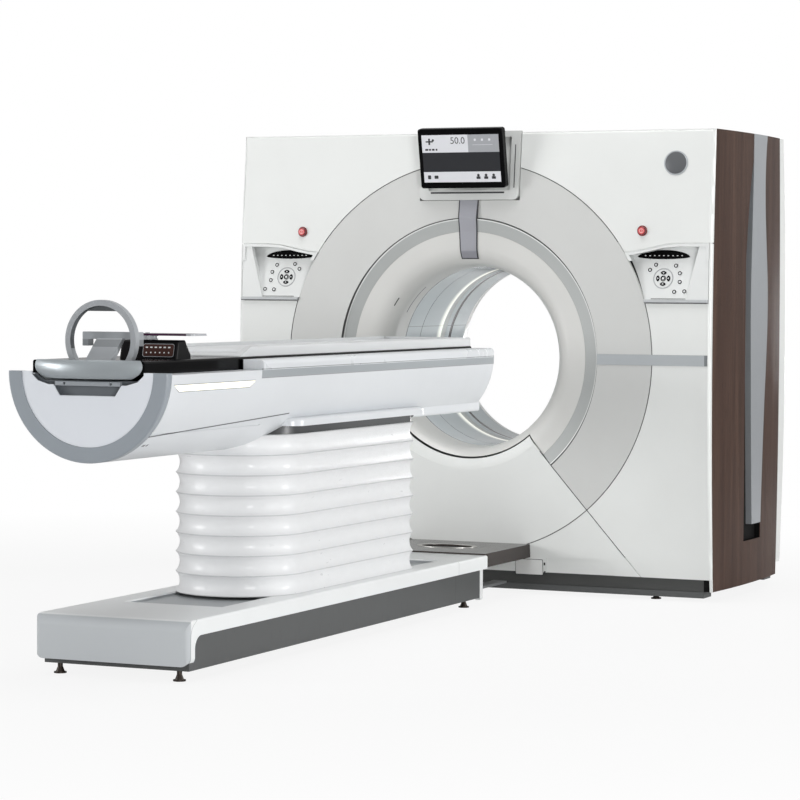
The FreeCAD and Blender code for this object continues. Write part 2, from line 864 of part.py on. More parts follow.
def gantry_top_cover():
    reach = side_inner - hair_gap
    roof = box(-reach, reach, front_y - margin, 2 * middle_y - front_y + margin, gantry_top - skin, gantry_top)
    return roof.common(between_bands()).removeSplitter()


def side_outer(y):
    """X of a side panel's outer face."""
    half = gantry_depth / 2
    radius = half ** 2 / (2 * side_bulge) + side_bulge / 2
    return half_width + side_bulge - radius + math.sqrt(radius ** 2 - (y - middle_y) ** 2)


def side_block(grow):
    """The space inside a side panel's outer face, moved out by an amount."""
    y0, y1 = front_y - margin, front_y + gantry_depth + margin
    points = [V(side_outer(y) + grow, y, side_panel_low) for y in (y0, middle_y, y1)]
    near, far_end = V(side_inner, y0, side_panel_low), V(side_inner, y1, side_panel_low)
    edges = [Part.Arc(*points).toShape(), Part.makeLine(points[2], far_end),
             Part.makeLine(far_end, near), Part.makeLine(near, points[0])]
    return Part.Face(Part.Wire(edges)).extrude(V(0, 0, gantry_top - side_panel_low))


def slot_outline(x0, x1):
    """The side panel's tall slot; its front edge bends towards the blade at its top."""
    rear = front_y + slot_front + slot_width
    points = [(front_y + slot_front, slot_low)] + [(front_y + y, z) for z, y in slot_front_edge]
    return prism_yz(points + [(rear, slot_front_edge[-1][0]), (rear, slot_low)], x0, x1)


def right_side_panel():
    block = side_block(0).common(between_bands())
    pocket = slot_outline(0, BIG).cut(side_block(-slot_depth))
    blade_cut = blade_outline(hair_gap).cut(side_block(-slot_depth))
    return block.cut(pocket).cut(blade_cut)


def blade_outline(grow):
    """The silver blade seen from the side: a tall strip, slightly waisted."""
    def edge(points, sign):
        curve = Part.BSplineCurve()
        curve.interpolate([V(0, front_y + y + sign * grow, z) for z, y in points])
        return curve.toShape()
    front, rear = edge(blade_front_edge, -1), edge(blade_rear_edge, 1)
    ends = [Part.makeLine(front.valueAt(t), rear.valueAt(t)) for t in (0.0, 1.0)]
    return Part.Face(Part.Wire([ends[0], rear, ends[1], front])).extrude(V(BIG, 0, 0))


def right_blade():
    return blade_outline(0).common(side_block(blade_proud)).cut(side_block(-slot_depth))


def side_panels():
    return pair(right_side_panel())


def side_blades():
    return pair(right_blade())


# ---- control panels ----------------------------------------------------------------------------

slope_low = (face_y(panel_low + panel_lip_height) + panel_ledge, panel_low + panel_lip_height)
slope_high = (face_y(panel_high) + panel_recess, panel_high - panel_brow)
slope_angle = math.atan2(slope_high[0] - slope_low[0], slope_high[1] - slope_low[1])


def on_slope(height):
    """Y of the sloping keyboard at a height."""
    share = (height - slope_low[1]) / (slope_high[1] - slope_low[1])
    return slope_low[0] + share * (slope_high[0] - slope_low[0])


def placed_on_slope(shape, across, up):
    """Moves a shape drawn about the origin, facing +Z, onto the keyboard, across and up from the cluster."""
    height = cluster_height + up
    place = shape.copy()
    place.rotate(V(0, 0, 0), X_AXIS, 90 - math.degrees(slope_angle))
    place.translate(V(cluster_x + across, on_slope(height), height))
    return place


def arrow_blank(grow):
    """One arrow key seen from above: a lens, with its long way along X."""
    half_long, half_wide = arrow_length / 2 + grow, arrow_width / 2 + grow
    left, right = V(-half_long, 0, 0), V(half_long, 0, 0)
    edges = [Part.Arc(left, V(0, half_wide, 0), right).toShape(),
             Part.Arc(right, V(0, -half_wide, 0), left).toShape()]
    return Part.Face(Part.Wire(edges))


def arrow_key(turn, grow, low, high):
    lens = arrow_blank(grow)
    lens.translate(V(0, 0, low))
    solid = lens.extrude(V(0, 0, high - low))
    solid.rotate(V(0, 0, 0), Z_AXIS, turn)
    return solid


arrows = {"up": (0, cluster_reach, 0), "down": (0, -cluster_reach, 0),
          "in": (-cluster_reach, 0, 90), "out": (cluster_reach, 0, 90)}


def arrow_cap(name):
    """One arrow key of the right-hand panel, with the stem that guides it."""
    across, up, turn = arrows[name]
    cap = arrow_key(turn, 0, -key_skirt, key_height)
    stem = Part.makeCylinder(key_stem, key_stem_length, V(0, 0, -key_skirt - key_stem_length))
    return placed_on_slope(cap.fuse(stem), across, up)


def arrow_pit(name):
    """The room that the same key needs."""
    across, up, turn = arrows[name]
    pit = arrow_key(turn, key_clearance, -key_skirt - key_travel - key_clearance, pit_reach)
    depth = key_stem_length + key_skirt + key_travel + key_clearance
    hole = Part.makeCylinder(key_stem + key_clearance, depth, V(0, 0, -depth))
    return placed_on_slope(pit.fuse(hole), across, up)


def panel_body(space):
    """The keyboard block between the lower lip and the brow."""
    back = front_y + panel_back
    lip_y = face_y(panel_low) - panel_lip
    brow_y = face_y(panel_high) - panel_brow_proud
    profile = [(back, panel_low), (lip_y + panel_lip_chamfer, panel_low), (lip_y, panel_low + panel_lip_chamfer),
               (lip_y, panel_low + panel_lip_height - panel_lip_chamfer), slope_low, slope_high,
               (brow_y, panel_high - panel_brow), (brow_y, panel_high), (back, panel_high)]
    return prism_yz(profile, 0, panel_outer).common(space)


def right_control_panel():
    space = panel_space(hair_gap / 2)
    back = front_y + panel_back
    low_edge, high_edge = panel_outer - panel_wall_low, panel_outer - panel_wall_high
    outer_wall = prism_xz([(low_edge, panel_low), (high_edge, panel_high), (BIG, panel_high), (BIG, panel_low)], *far)
    wall = full.common(space).common(outer_wall).common(box(0, BIG, -BIG, back, 0, BIG))
    brow = space.cut(panel_space(panel_brow)).common(slab(0, panel_outer, panel_high - brow_reach, BIG))
    crown = crowned_block(face_bulge, front_y, -panel_brow_proud, cover_bottom, gantry_top, BIG, back)
    shape = fuse([panel_body(space), wall, brow.common(crown)])
    for across, up in small_keys + [(0, 0)]:
        key = Part.makeCylinder(small_key_radius, key_height + key_skirt, V(0, 0, -key_skirt))
        shape = shape.fuse(placed_on_slope(key, across, up))
    for name in arrows:
        shape = shape.cut(arrow_pit(name))
    side = box(side_inner - hair_gap, BIG, -BIG, BIG, 0, BIG)
    return shape.cut(behind_band(hair_gap).common(side)).removeSplitter()


def control_panels():
    return pair(right_control_panel())


def estop():
    """The right-hand emergency stop: a round head on its stem."""
    y = face_y(estop_height)
    y0 = y - estop_proud
    head = rod_y(estop_radius, y0, y0 + estop_head, estop_x, estop_height)
    head = round_edges(head, estop_round, lambda p, d: p.y < y0 + PAST)
    stem = rod_y(estop_stem, y0 + PAST, y + skin + estop_stem_reach, estop_x, estop_height)
    return head.fuse(stem).removeSplitter()


# ---- display -----------------------------------------------------------------------------------

def display_housing():
    """The housing in the covers' notch, with a pocket for the monitor and the arm that carries it."""
    proud = crowned_block(face_bulge, front_y, -housing_proud, housing_low, gantry_top + housing_above,
                          housing_half_width, middle_y)
    proud = round_edges(proud, housing_corner, lambda p, d: abs(d.y) > 0.9 and p.z < housing_low + PAST)
    body = proud.common(box(-BIG, BIG, -BIG, front_y + housing_depth, -BIG, BIG))
    half = housing_half_width - housing_edge
    low, top = housing_low + housing_edge, gantry_top - housing_top_edge
    floor = crowned_block(face_bulge, front_y, housing_pocket, low, top, half, middle_y)
    hollow = box(-half, half, -BIG, front_y + housing_pocket_back, low, top).cut(floor)
    arm_y, arm_z = face_y(display_low + display_height / 2), display_low + arm_low
    arm = box(-arm_half_width, arm_half_width, arm_y - display_stand_off - display_depth / 2,
              arm_y + arm_sink, arm_z, arm_z + arm_height)
    roof_room = behind_band(hair_gap).common(box(-BIG, BIG, -BIG, BIG, gantry_top - skin - hair_gap, BIG))
    return body.cut(hollow).cut(roof_room).fuse(arm.cut(display(hair_gap))).removeSplitter()


def display(grow=0.0):
    """The monitor: a slab with rounded corners, its top tilted forward."""
    half = display_width / 2 + grow
    block = box(-half, half, -display_depth - grow, grow, -grow, display_height + grow)
    block = round_edges(block, display_corner, lambda p, d: abs(d.y) > 0.9)
    block = round_edges(block, display_edge_round, lambda p, d: p.y < -display_depth - grow + PAST / 2)
    block.rotate(V(0, 0, 0), X_AXIS, display_tilt)
    block.translate(V(0, face_y(display_low) - display_stand_off + display_depth, display_low))
    return block


def indicator_tongue():
    """The lit strip that runs from the display over the grey ring and down the funnel."""
    lip = bore_radius + lip_radius
    low, top = bore_height + tongue_end, housing_low - hair_gap
    on_ring = front_y - ring_forward - tongue_thickness
    centre_y, reach = front_y - lip_forward + lip_radius, lip_radius + tongue_thickness
    hidden = front_y + tongue_back
    outside, inside = tongue_knee

    def on_roll(radius):
        return V(0, centre_y - math.sqrt(reach ** 2 - (lip - radius) ** 2), bore_height + radius)
    ends = [V(0, face_y(top) - tongue_thickness, top), V(0, on_ring, bore_height + trim_outer + outside),
            V(0, on_ring, bore_height + trim_outer - inside),
            V(0, on_ring + ring_slope, bore_height + trim_inner), on_roll(lip)]
    back = [on_roll(tongue_end), V(0, hidden, low), V(0, hidden, top), ends[0]]
    edges = [Part.makeLine(a, b) for a, b in zip(ends, ends[1:])]
    edges.append(Part.Arc(ends[-1], on_roll((lip + tongue_end) / 2), back[0]).toShape())
    edges += [Part.makeLine(a, b) for a, b in zip(back, back[1:])]
    half_top, half_end = tongue_top_width / 2, tongue_end_width / 2
    strip = Part.Face(Part.Wire(edges)).extrude(V(tongue_top_width, 0, 0))
    strip.translate(V(-half_top, 0, 0))
    taper = prism_xz([(-half_top, top), (half_top, top), (half_end, low), (-half_end, low)], *far)
    crown = crowned_block(face_bulge, front_y, -hair_gap, cover_bottom, gantry_top, BIG, BIG)
    outer, inner = trim_profile(-hair_gap), trim_profile(lip_radius)
    corner = (outer[0][0] + hair_gap, outer[0][1])
    grey = revolve([line(corner, outer[1]), line(outer[1], inner[1]), line(inner[1], inner[0]),
                    line(inner[0], corner)])
    funnel = funnel_shape(-hair_gap, lip_radius / 2, 2 * lip_radius)
    return strip.common(taper).cut(crown.cut(disc(trim_outer))).cut(grey).cut(funnel)


# ---- gantry structure and rotor ----------------------------------------------------------------

def gantry_frame():
    """Welded floor frame, corner posts and the upright casting that holds the main bearing."""
    reach = side_inner - hair_gap
    beam_y0, beam_y1 = front_y + plinth_setback, front_y + plinth_setback + plinth_depth
    front_beam = box(-reach, reach, beam_y0, beam_y1, plinth_low, cover_bottom - hair_gap)
    groove_low = plinth_low + plinth_groove_low
    front_beam = front_beam.cut(box(-BIG, BIG, beam_y0 - PAST, beam_y0 + plinth_groove_depth, groove_low,
                                    groove_low + plinth_groove_width))
    pan = box(-base_pan_half_width, base_pan_half_width, beam_y1, 2 * middle_y - beam_y1,
              plinth_low + base_pan_low, base_pan_high)
    y0, y1 = front_y + frame_front, frame_back
    upright = rod_y(frame_outer, y0, y1).common(box(-frame_outer, frame_outer, y0, y1, base_pan_high, BIG))
    sides = box(-frame_outer, frame_outer, y0, y1, base_pan_high, bore_height - frame_shoulder)
    foot = box(-frame_outer, frame_outer, y0, y1, base_pan_high - PAST, base_pan_high + frame_foot_height)
    upright = upright.fuse([sides, foot]).cut(rod_y(bearing_outer + seat_gap, y0 - PAST, y1 + PAST))
    x = side_inner - post_half
    post_y = front_y + post_inset
    rail_high = side_rail_low + side_rail_height
    post = box(x - post_half, x + post_half - hair_gap, post_y, post_y + post_depth, cover_bottom - post_foot,
               gantry_top - skin - hair_gap)
    cross_rail = box(frame_outer - frame_lap, x, y0, y1, side_rail_low, rail_high)
    side_rail = box(x - side_rail_half, x + side_rail_half, post_y + PAST, 2 * middle_y - post_y - PAST,
                    side_rail_low, rail_high)
    right = [post, to_rear(post), cross_rail, side_rail]
    left = [mirror_x(piece) for piece in right]
    return fuse([front_beam, to_rear(front_beam), pan, upright] + right + left)


def levelling_foot(x, y, top):
    pad = rod_z(foot_pad_radius, 0, foot_pad_thickness, x, y)
    cone_top = min(foot_cone_height, top - foot_pad_thickness - PAST)
    cone = Part.makeCone(foot_pad_radius - foot_cone_inset, foot_neck_radius, cone_top,
                         V(x, y, foot_pad_thickness))
    return fuse([pad, cone, rod_z(foot_neck_radius, foot_pad_thickness, top, x, y)])


def levelling_feet():
    feet = []
    for x in (-gantry_foot_x, gantry_foot_x):
        for y in (front_y + foot_inset, front_y + gantry_depth - foot_inset):
            feet.append(levelling_foot(x, y, plinth_low))
    for x in (-table_foot_x, table_foot_x):
        for y in (front_y - table_foot_foot_end, front_y - table_foot_gantry_end):
            feet.append(levelling_foot(x, y, base_skirt_low))
    return Part.makeCompound(feet)


def main_bearing():
    inner = bearing_outer - bearing_wall
    ring = ring_y(inner, bearing_outer, frame_back - bearing_length, frame_back)
    flange = ring_y(inner, bearing_outer + bearing_flange, frame_back, frame_back + bearing_flange_depth)
    return ring.fuse(flange).removeSplitter()


def drive_stator():
    return ring_y(stator_inner, stator_outer, frame_back, plate_y - stator_end_gap)


def rotor_drum():
    """Hub, plate, rim and the drive's ring of magnets, in one turning piece."""
    plate = ring_y(hub_inner, rotor_radius, plate_y, plate_y + rotor_plate)
    hub = ring_y(hub_inner, hub_outer, frame_back - bearing_length + hub_end_gap, plate_y + PAST)
    rim = ring_y(rotor_radius - rotor_rim, rotor_radius, plate_y, rim_back)
    magnet_inner = stator_outer + air_gap
    magnets = ring_y(magnet_inner, magnet_inner + magnet_wall, frame_back + magnet_end_gap, plate_y + PAST)
    return fuse([plate, hub, rim, magnets])


def xray_tube():
    y0, y1 = component_y, component_y + tube_length
    z = bore_height + tube_centre
    body = round_edges(rod_y(tube_radius, y0, y1, 0, z), tube_round, lambda p, d: p.y > y1 - PAST)
    collimator = box(-collimator_half, collimator_half, y0, y0 + collimator_depth,
                     z - tube_radius - collimator_drop, z - tube_radius / 2)
    socket = rod_x(socket_radius, tube_radius - PAST, tube_radius + socket_reach, y0 + socket_y, z)
    socket = socket.fuse(rod_x(socket_radius, 0, tube_radius, y0 + socket_y, z))
    return fuse([body, collimator, socket, mirror_x(socket)])


def sector(inner, outer, half_angle, y0, y1):
    """The lowest part of a ring about the bore axis, to an angle on each side."""
    side = 2 * outer * math.tan(math.radians(half_angle))
    low = bore_height - 2 * outer
    wedge = prism_xz([(0, bore_height), (side, low), (-side, low)], y0, y1)
    return ring_y(inner, outer, y0, y1).common(wedge)


def detector_array():
    return sector(detector_inner, detector_inner + detector_thickness, detector_half_angle, component_y,
                  component_y + detector_width)


def hv_generator():
    y0, y1 = component_y, component_y + generator_depth
    reach = rotor_radius - rotor_rim
    block = box(-reach, -reach + generator_width, y0, y1, bore_height - generator_height / 2,
                bore_height + generator_height / 2)
    return block.common(rod_y(reach, y0, y1)).cut(rod_y(bore_radius + generator_drum_gap, y0, y1))


def rotor_modules():
    """The generator and, facing it, the finned oil cooler that balances it."""
    generator = hv_generator()
    cooler = mirror_x(generator)
    end = component_y + generator_depth
    low = bore_height - (fin_count * fin_pitch - fin_gap) / 2
    for k in range(fin_count):
        z = low + k * fin_pitch
        cooler = cooler.cut(box(0, BIG, end - fin_depth, end + PAST, z, z + fin_gap))
    return Part.makeCompound([generator, cooler])


def slip_ring():
    return ring_y(slip_ring_inner, rotor_radius, rim_back, rim_back + slip_ring_thickness)


# ---- patient table -----------------------------------------------------------------------------

def body_rod(radius, y0, y1):
    return rod_y(radius, y0, y1, 0, body_axis_height)


def below(height):
    return box(-BIG, BIG, -BIG, BIG, -BIG, height)


def half_round(radius, y0, y1):
    return body_rod(radius, y0, y1).common(below(deck_level))


def trough(y0, y1):
    """The channel that the end handle needs in the deck when the cradle moves in."""
    top, shoulder = deck_level + PAST, handle_low + trough_room
    right = [(trough_low_half_width, trough_low), (trough_half_width, shoulder), (trough_half_width, top)]
    return prism_xz([(-x, z) for x, z in reversed(right)] + right, y0, y1)


def table_shell():
    """The half-round table top: side covers, belly and the flat deck under the cradle."""
    end = front_y - body_gantry_end
    flat_start = front_y - body_flat_start
    outer = half_round(body_radius, shell_start, end)
    outer = outer.cut(box(-BIG, BIG, flat_start, BIG, -BIG, body_flat_low))
    inner = half_round(body_radius - body_wall, shell_start + body_wall, end - body_wall)
    inner = inner.common(below(deck_level - body_wall))
    inner = inner.cut(box(-BIG, BIG, flat_start - body_wall, BIG, -BIG, body_flat_low + body_wall))
    trough_end = front_y - cradle_foot_end + cradle_travel + trough_margin
    half, floor = trough_half_width + body_wall, trough_low - body_wall
    inner = inner.cut(box(-half, half, shell_start, trough_end + body_wall, floor, cradle_low))
    shape = outer.cut(inner).cut(trough(shell_start - PAST, trough_end))
    y0, y1 = shell_start - PAST, table_end_y + belly_seam_length
    seam_low = body_axis_height - belly_seam_drop
    groove = body_rod(body_radius + PAST, y0, y1).cut(body_rod(body_radius - belly_seam_width, y0, y1))
    return shape.cut(groove.common(box(-BIG, BIG, y0, y1, seam_low, seam_low + belly_seam_width)))


def table_end_ring():
    """The half ring round the end cap, with the spigot that joins it to the shell."""
    y0, y1 = table_end_y, table_end_y + end_ring_depth
    ring = body_rod(body_radius, y0, y1).cut(body_rod(end_ring_inner, y0 - PAST, y1 + PAST))
    ring = ring.common(below(body_axis_height - hair_gap))

    def outer_edge(p, d):
        return p.y < y0 + PAST / 2 and abs(math.hypot(p.x, p.z - body_axis_height) - body_radius) < PAST
    spigot = body_rod(body_radius - end_ring_lip, y1, shell_start)
    spigot = spigot.cut(body_rod(end_ring_inner, y0, shell_start + PAST)).common(below(deck_level))
    return round_edges(ring, end_ring_round, outer_edge).fuse(spigot).removeSplitter()


def table_end_cap():
    """White end plate, notched for the handle, with the pocket of the release bar."""
    y0, y1 = table_end_y + end_cap_setback, shell_start
    floor = y1 - end_cap_floor
    plate = body_rod(end_ring_inner - hair_gap, y0, y1).common(below(body_axis_height - hair_gap))
    right = [(notch_low_half_width, body_axis_height - notch_drop),
             (notch_half_width - notch_bend, body_axis_height - notch_bend_drop),
             (notch_half_width, body_axis_height - notch_shoulder_drop), (notch_half_width, BIG)]
    notch = prism_xz([(-x, z) for x, z in reversed(right)] + right, y0 - PAST, floor)
    pocket = prism_xz([(-latch_half_width, latch_high), (-latch_low_half_width, latch_low),
                       (latch_low_half_width, latch_low), (latch_half_width, latch_high)], y0 - PAST, floor)
    upper = box(-BIG, BIG, floor, BIG, deck_level, BIG)
    pin_radius, pin_y = latch_pin_radius - latch_pin_clearance, floor - PAST - latch_pin_reach
    pins = [rod_y(pin_radius, pin_y, floor, x, latch_bar_z) for x in latch_pin_x]
    return fuse([plate.cut(notch).cut(pocket).cut(upper).cut(trough(y0 - PAST, y1 + PAST))] + pins)


def end_latch():
    """The release bar in the end cap's pocket, pressed towards the table to free the cradle."""
    back = shell_start - end_cap_floor - latch_travel - latch_bar_gap
    front = back - latch_bar_depth
    half, half_high = latch_bar_half_width, latch_bar_height / 2
    bar = box(-half, half, front, back, latch_bar_z - half_high, latch_bar_z + half_high)
    bar = round_edges(bar, latch_bar_round, lambda p, d: abs(d.x) > 0.9 and p.y < front + PAST)
    for x in latch_pin_x:
        bar = bar.cut(rod_y(latch_pin_radius, front - PAST, back + PAST, x, latch_bar_z))
    return bar


def table_side_rails():
    low, high = deck_level, body_axis_height + rail_height
    y0, y1 = front_y - rail_foot_end, front_y - body_gantry_end
    rail = box(rail_inner, body_radius, y0, y1, low, high)

    def top_outer(p, d):
        return abs(d.y) > 0.9 and p.x > body_radius - PAST and p.z > high - PAST
    return pair(round_edges(rail, rail_round, top_outer))


def bellows_outline(inset, z):
    """The bellows seen from above: an oval nose at the foot end, rounded corners at the gantry end."""
    half = bellows_half_width - inset
    nose = bellows_nose - inset
    corner = bellows_corner - inset
    y_nose = front_y - bellows_foot_end + bellows_nose
    y_end = front_y - bellows_gantry_end - inset
    y_corner, x_corner = y_end - corner, half - corner
    slant = math.sqrt(0.5) * corner
    oval = Part.Ellipse(V(0, y_nose - nose, z), V(half, y_nose, z), V(0, y_nose, z))
    edges = [oval.toShape(1.5 * math.pi, 2 * math.pi), oval.toShape(0, 0.5 * math.pi),
             Part.makeLine(V(x_corner, y_end, z), V(-x_corner, y_end, z))]
    for side in (-1, 1):
        edges.append(Part.makeLine(V(side * half, y_nose, z), V(side * half, y_corner, z)))
        edges.append(Part.Arc(V(side * half, y_corner, z), V(side * (x_corner + slant), y_corner + slant, z),
                              V(side * x_corner, y_end, z)).toShape())
    return Part.Wire(Part.__sortEdges__(edges))


def pleated_block():
    """The bellows' outer form, a smooth loft through its ridges and valleys."""
    pitch = (bellows_high - base_top - bellows_gap) / bellows_pleats
    wires = []
    for k in range(bellows_pleats * pleat_steps + 1):
        share = (k % pleat_steps) / pleat_steps
        inset = bellows_pleat_depth * 4 * share * (1 - share)
        wires.append(bellows_outline(inset, base_top + bellows_gap + k * pitch / pleat_steps))
    return Part.makeLoft(wires, True, True)


def bellows():
    core = Part.Face(bellows_outline(bellows_pleat_depth + bellows_wall, base_top)).extrude(V(0, 0, BIG))
    under_body = body_rod(body_radius + bellows_gap, -BIG, BIG)
    return pleated_block().cut(core).cut(under_body)


def saddle_collar():
    """The rounded collar between the table top and the bellows, with the flat tray nearer the gantry."""
    collar = box(-collar_half_width, collar_half_width, front_y - collar_foot_end,
                 front_y - collar_gantry_end, collar_low, collar_high)
    collar = round_edges(collar, collar_corner, lambda p, d: abs(d.z) > 0.9)
    collar = round_edges(collar, collar_round, lambda p, d: p.z > collar_high - PAST / 2)
    neck_low = bellows_high + bellows_gap
    neck = Part.Face(bellows_outline(collar_neck_inset, neck_low))
    neck = neck.extrude(V(0, 0, collar_low + PAST - neck_low))
    inside = Part.Face(bellows_outline(collar_inside, neck_low - PAST)).extrude(V(0, 0, BIG))
    half = under_tray_half_width
    tray = box(-half, half, front_y - bellows_gantry_end - under_tray_lap, front_y - under_tray_gantry_end,
               under_tray_low, body_flat_low)
    tray = round_edges(tray, under_tray_round, lambda p, d: abs(d.y) > 0.9 and p.z < under_tray_low + PAST)
    whole = fuse([collar.fuse(neck).cut(inside), tray])
    round_room = body_rod(body_radius + seat_gap, -BIG, front_y - body_flat_start)
    flat_room = half_round(body_radius, front_y - body_flat_start, front_y - body_gantry_end)
    return whole.cut(round_room).cut(flat_room.cut(below(body_flat_low)))


def cradle_drive():
    """Motor and belt unit on the deck's underside, which moves the cradle."""
    top = deck_level - body_wall
    y = front_y - drive_y
    foot = box(-motor_foot_half, motor_foot_half, y - motor_length + motor_foot_inset, y - motor_foot_inset,
               top - motor_foot_height, top)
    gearbox = box(-gearbox_half, gearbox_half, y, y + gearbox_length, top - gearbox_height, top)
    return fuse([rod_y(motor_radius, y - motor_length, y, 0, top - motor_drop), foot, gearbox])


def cradle_chassis():
    y0, y1 = front_y - cradle_foot_end, front_y - cradle_gantry_end
    block = box(-cradle_half_width, cradle_half_width, y0, y1, cradle_low, cradle_top)
    return round_edges(block, cradle_edge_round, lambda p, d: abs(d.y) > 0.9 and p.z > cradle_top - PAST)


def cradle_tray():
    """White tray with a raised rim on each side and a slanted foot end."""
    half, room = tray_half_width, tray_half_width - tray_rim_width
    y0, y1 = front_y - tray_foot_end, front_y - tray_end
    block = box(-half, half, y0, y1, cradle_top, tray_rim_high)
    block = round_edges(block, tray_round, lambda p, d: abs(d.y) > 0.9 and p.z > tray_rim_high - PAST)
    block = block.cut(box(-room, room, y0 - PAST, y1 - mat_margin, tray_floor, BIG))
    lip = cradle_top + tray_foot_lip
    slant = prism_yz([(y0, lip), (y0 + tray_slope, tray_rim_high), (y0 + tray_slope, BIG), (y0 - PAST, BIG),
                      (y0 - PAST, lip)], -BIG, BIG)
    return block.cut(slant)


def cradle_mat():
    half = tray_half_width - tray_rim_width - mat_gap
    y0, y1 = front_y - tray_foot_end + tray_slope, front_y - tray_end - mat_margin - mat_gap
    top = tray_floor + mat_thickness
    mat = box(-half, half, y0, y1, tray_floor, top)
    return round_edges(mat, mat_round, lambda p, d: p.z > top - PAST / 2)


def end_handle():
    """The boat-shaped grip across the cradle's foot end."""
    nose, back = table_end_y - handle_nose, front_y - cradle_foot_end
    wires = []
    for narrower, setback, rise in handle_sections:
        half, z = handle_half_width - narrower, handle_low + rise
        left, right = V(-half, back, z), V(half, back, z)
        bow = Part.Arc(left, V(0, nose + setback, z), right).toShape()
        wires.append(Part.Wire([bow, Part.makeLine(right, left)]))
    return Part.makeLoft(wires, True, False)


def end_hoop():
    """Upright ring on the cradle's foot end, with a flat insert at its top, and the bracket before it."""
    y0, y1 = front_y - hoop_y - hoop_width / 2, front_y - hoop_y + hoop_width / 2
    inner = hoop_outer - hoop_wall
    ring = rod_y(hoop_outer, y0, y1, 0, hoop_axis_height)
    ring = ring.cut(rod_y(inner, y0 - PAST, y1 + PAST, 0, hoop_axis_height)).cut(below(cradle_top))
    chord = rod_y(inner + hoop_chord_lap, y0 + hoop_chord_inset, y1 - hoop_chord_inset, 0, hoop_axis_height)
    chord = chord.cut(below(hoop_axis_height + inner - hoop_chord))
    return Part.makeCompound([fuse([ring, chord]), end_bracket()])


def end_bracket():
    """Slanted plate and the cross beam that it carries."""
    y_foot, y_head = front_y - plate_foot, front_y - plate_head
    top = plate_high + beam_round
    plate = prism_yz([(y_foot - plate_thickness, cradle_top), (y_foot + plate_thickness, cradle_top),
                      (y_head + plate_thickness, top), (y_head - plate_thickness / 2, top)],
                     -plate_half_width, plate_half_width)
    y0, y1 = front_y - beam_y - beam_depth / 2, front_y - beam_y + beam_depth / 2
    beam = [box(-beam_half_width, beam_half_width, y0, y1, plate_high, beam_high)]
    for x in (-beam_half_width, beam_half_width - beam_thickness):
        beam.append(box(x, x + beam_thickness, y0, y1, plate_high - beam_leg, plate_high + PAST))
    beam = round_edges(fuse(beam), beam_round, lambda p, d: abs(d.y) > 0.9 and p.z > beam_high - PAST)
    return fuse([plate, beam])


def console_pod():
    """Black console on the cradle, between the hoop and the tray, with the hub and pin of the side shelf."""
    y0 = front_y - pod_foot_end
    y1 = y0 + pod_length
    profile = [(y0, cradle_top)] + [(y0 + y, pod_high - drop) for y, drop in pod_front]
    profile += [(y1 - y, pod_high - drop) for y, drop in pod_back] + [(y1, cradle_top)]

    def side_edge(p, d):
        return abs(d.x) < 0.5 and min(p.x - pod_left, pod_right - p.x) < 0.5 and p.z > cradle_top + PAST
    block = round_edges(prism_yz(profile, pod_left, pod_right), pod_round, side_edge)
    y, hub_top = front_y - hub_y, pod_high + hub_height
    hub = rod_z(hub_radius, pod_high - PAST, hub_top, hub_x, y)
    pin = rod_z(hub_pin_radius, pod_high, hub_top + swivel_thickness + hub_pin_head, hub_x, y)
    return fuse([block, hub, pin])


def swivel_plate():
    """The side shelf, which turns on the console's pin."""
    z0 = pod_high + hub_height + swivel_gap
    z1 = z0 + swivel_thickness
    x0, y = hub_x - swivel_end, front_y - hub_y
    plate = box(x0, x0 + swivel_length, y - swivel_depth / 2, y + swivel_depth / 2, z0, z1)
    plate = round_edges(plate, swivel_corner, lambda p, d: abs(d.z) > 0.9)
    return plate.cut(rod_z(hub_pin_radius + hub_pin_clearance, z0 - PAST, z1 + PAST, hub_x, y))


# ---- table base and lift -----------------------------------------------------------------------

column_centres = (front_y - column_foot_y, front_y - column_gantry_y)


def column_tube(size, z0, z1):
    """One stage of both lifting columns."""
    return [square(size / 2, y, z0, z1).cut(square(size / 2 - column_wall, y, z0 - PAST, z1 + PAST))
            for y in column_centres]


def square(half, y, z0, z1):
    """An upright block on the table's middle line."""
    return box(-half, half, y - half, y + half, z0, z1)


stage_size = [column_size - k * 2 * (column_wall + column_gap) for k in range(4)]
stage_stroke = lift_travel / 3


def stage_span(k):
    """Lowest and highest point of stage k, with the table raised."""
    low = column_low + k * column_step
    return low + k * stage_stroke, column_high + k * stage_stroke


def lift_stage(number):
    """A moving stage, one tube in each of the two columns, with the table raised."""
    return Part.makeCompound(column_tube(stage_size[number], *stage_span(number)))


def lift_inner():
    """The innermost tubes, with the saddles that carry the table top."""
    tubes = column_tube(stage_size[3], stage_span(3)[0], saddle_top)
    saddles = [square(saddle_half, y, saddle_low, saddle_top) for y in column_centres]
    return fuse(tubes + saddles).cut(body_rod(body_radius + seat_gap, -BIG, BIG))


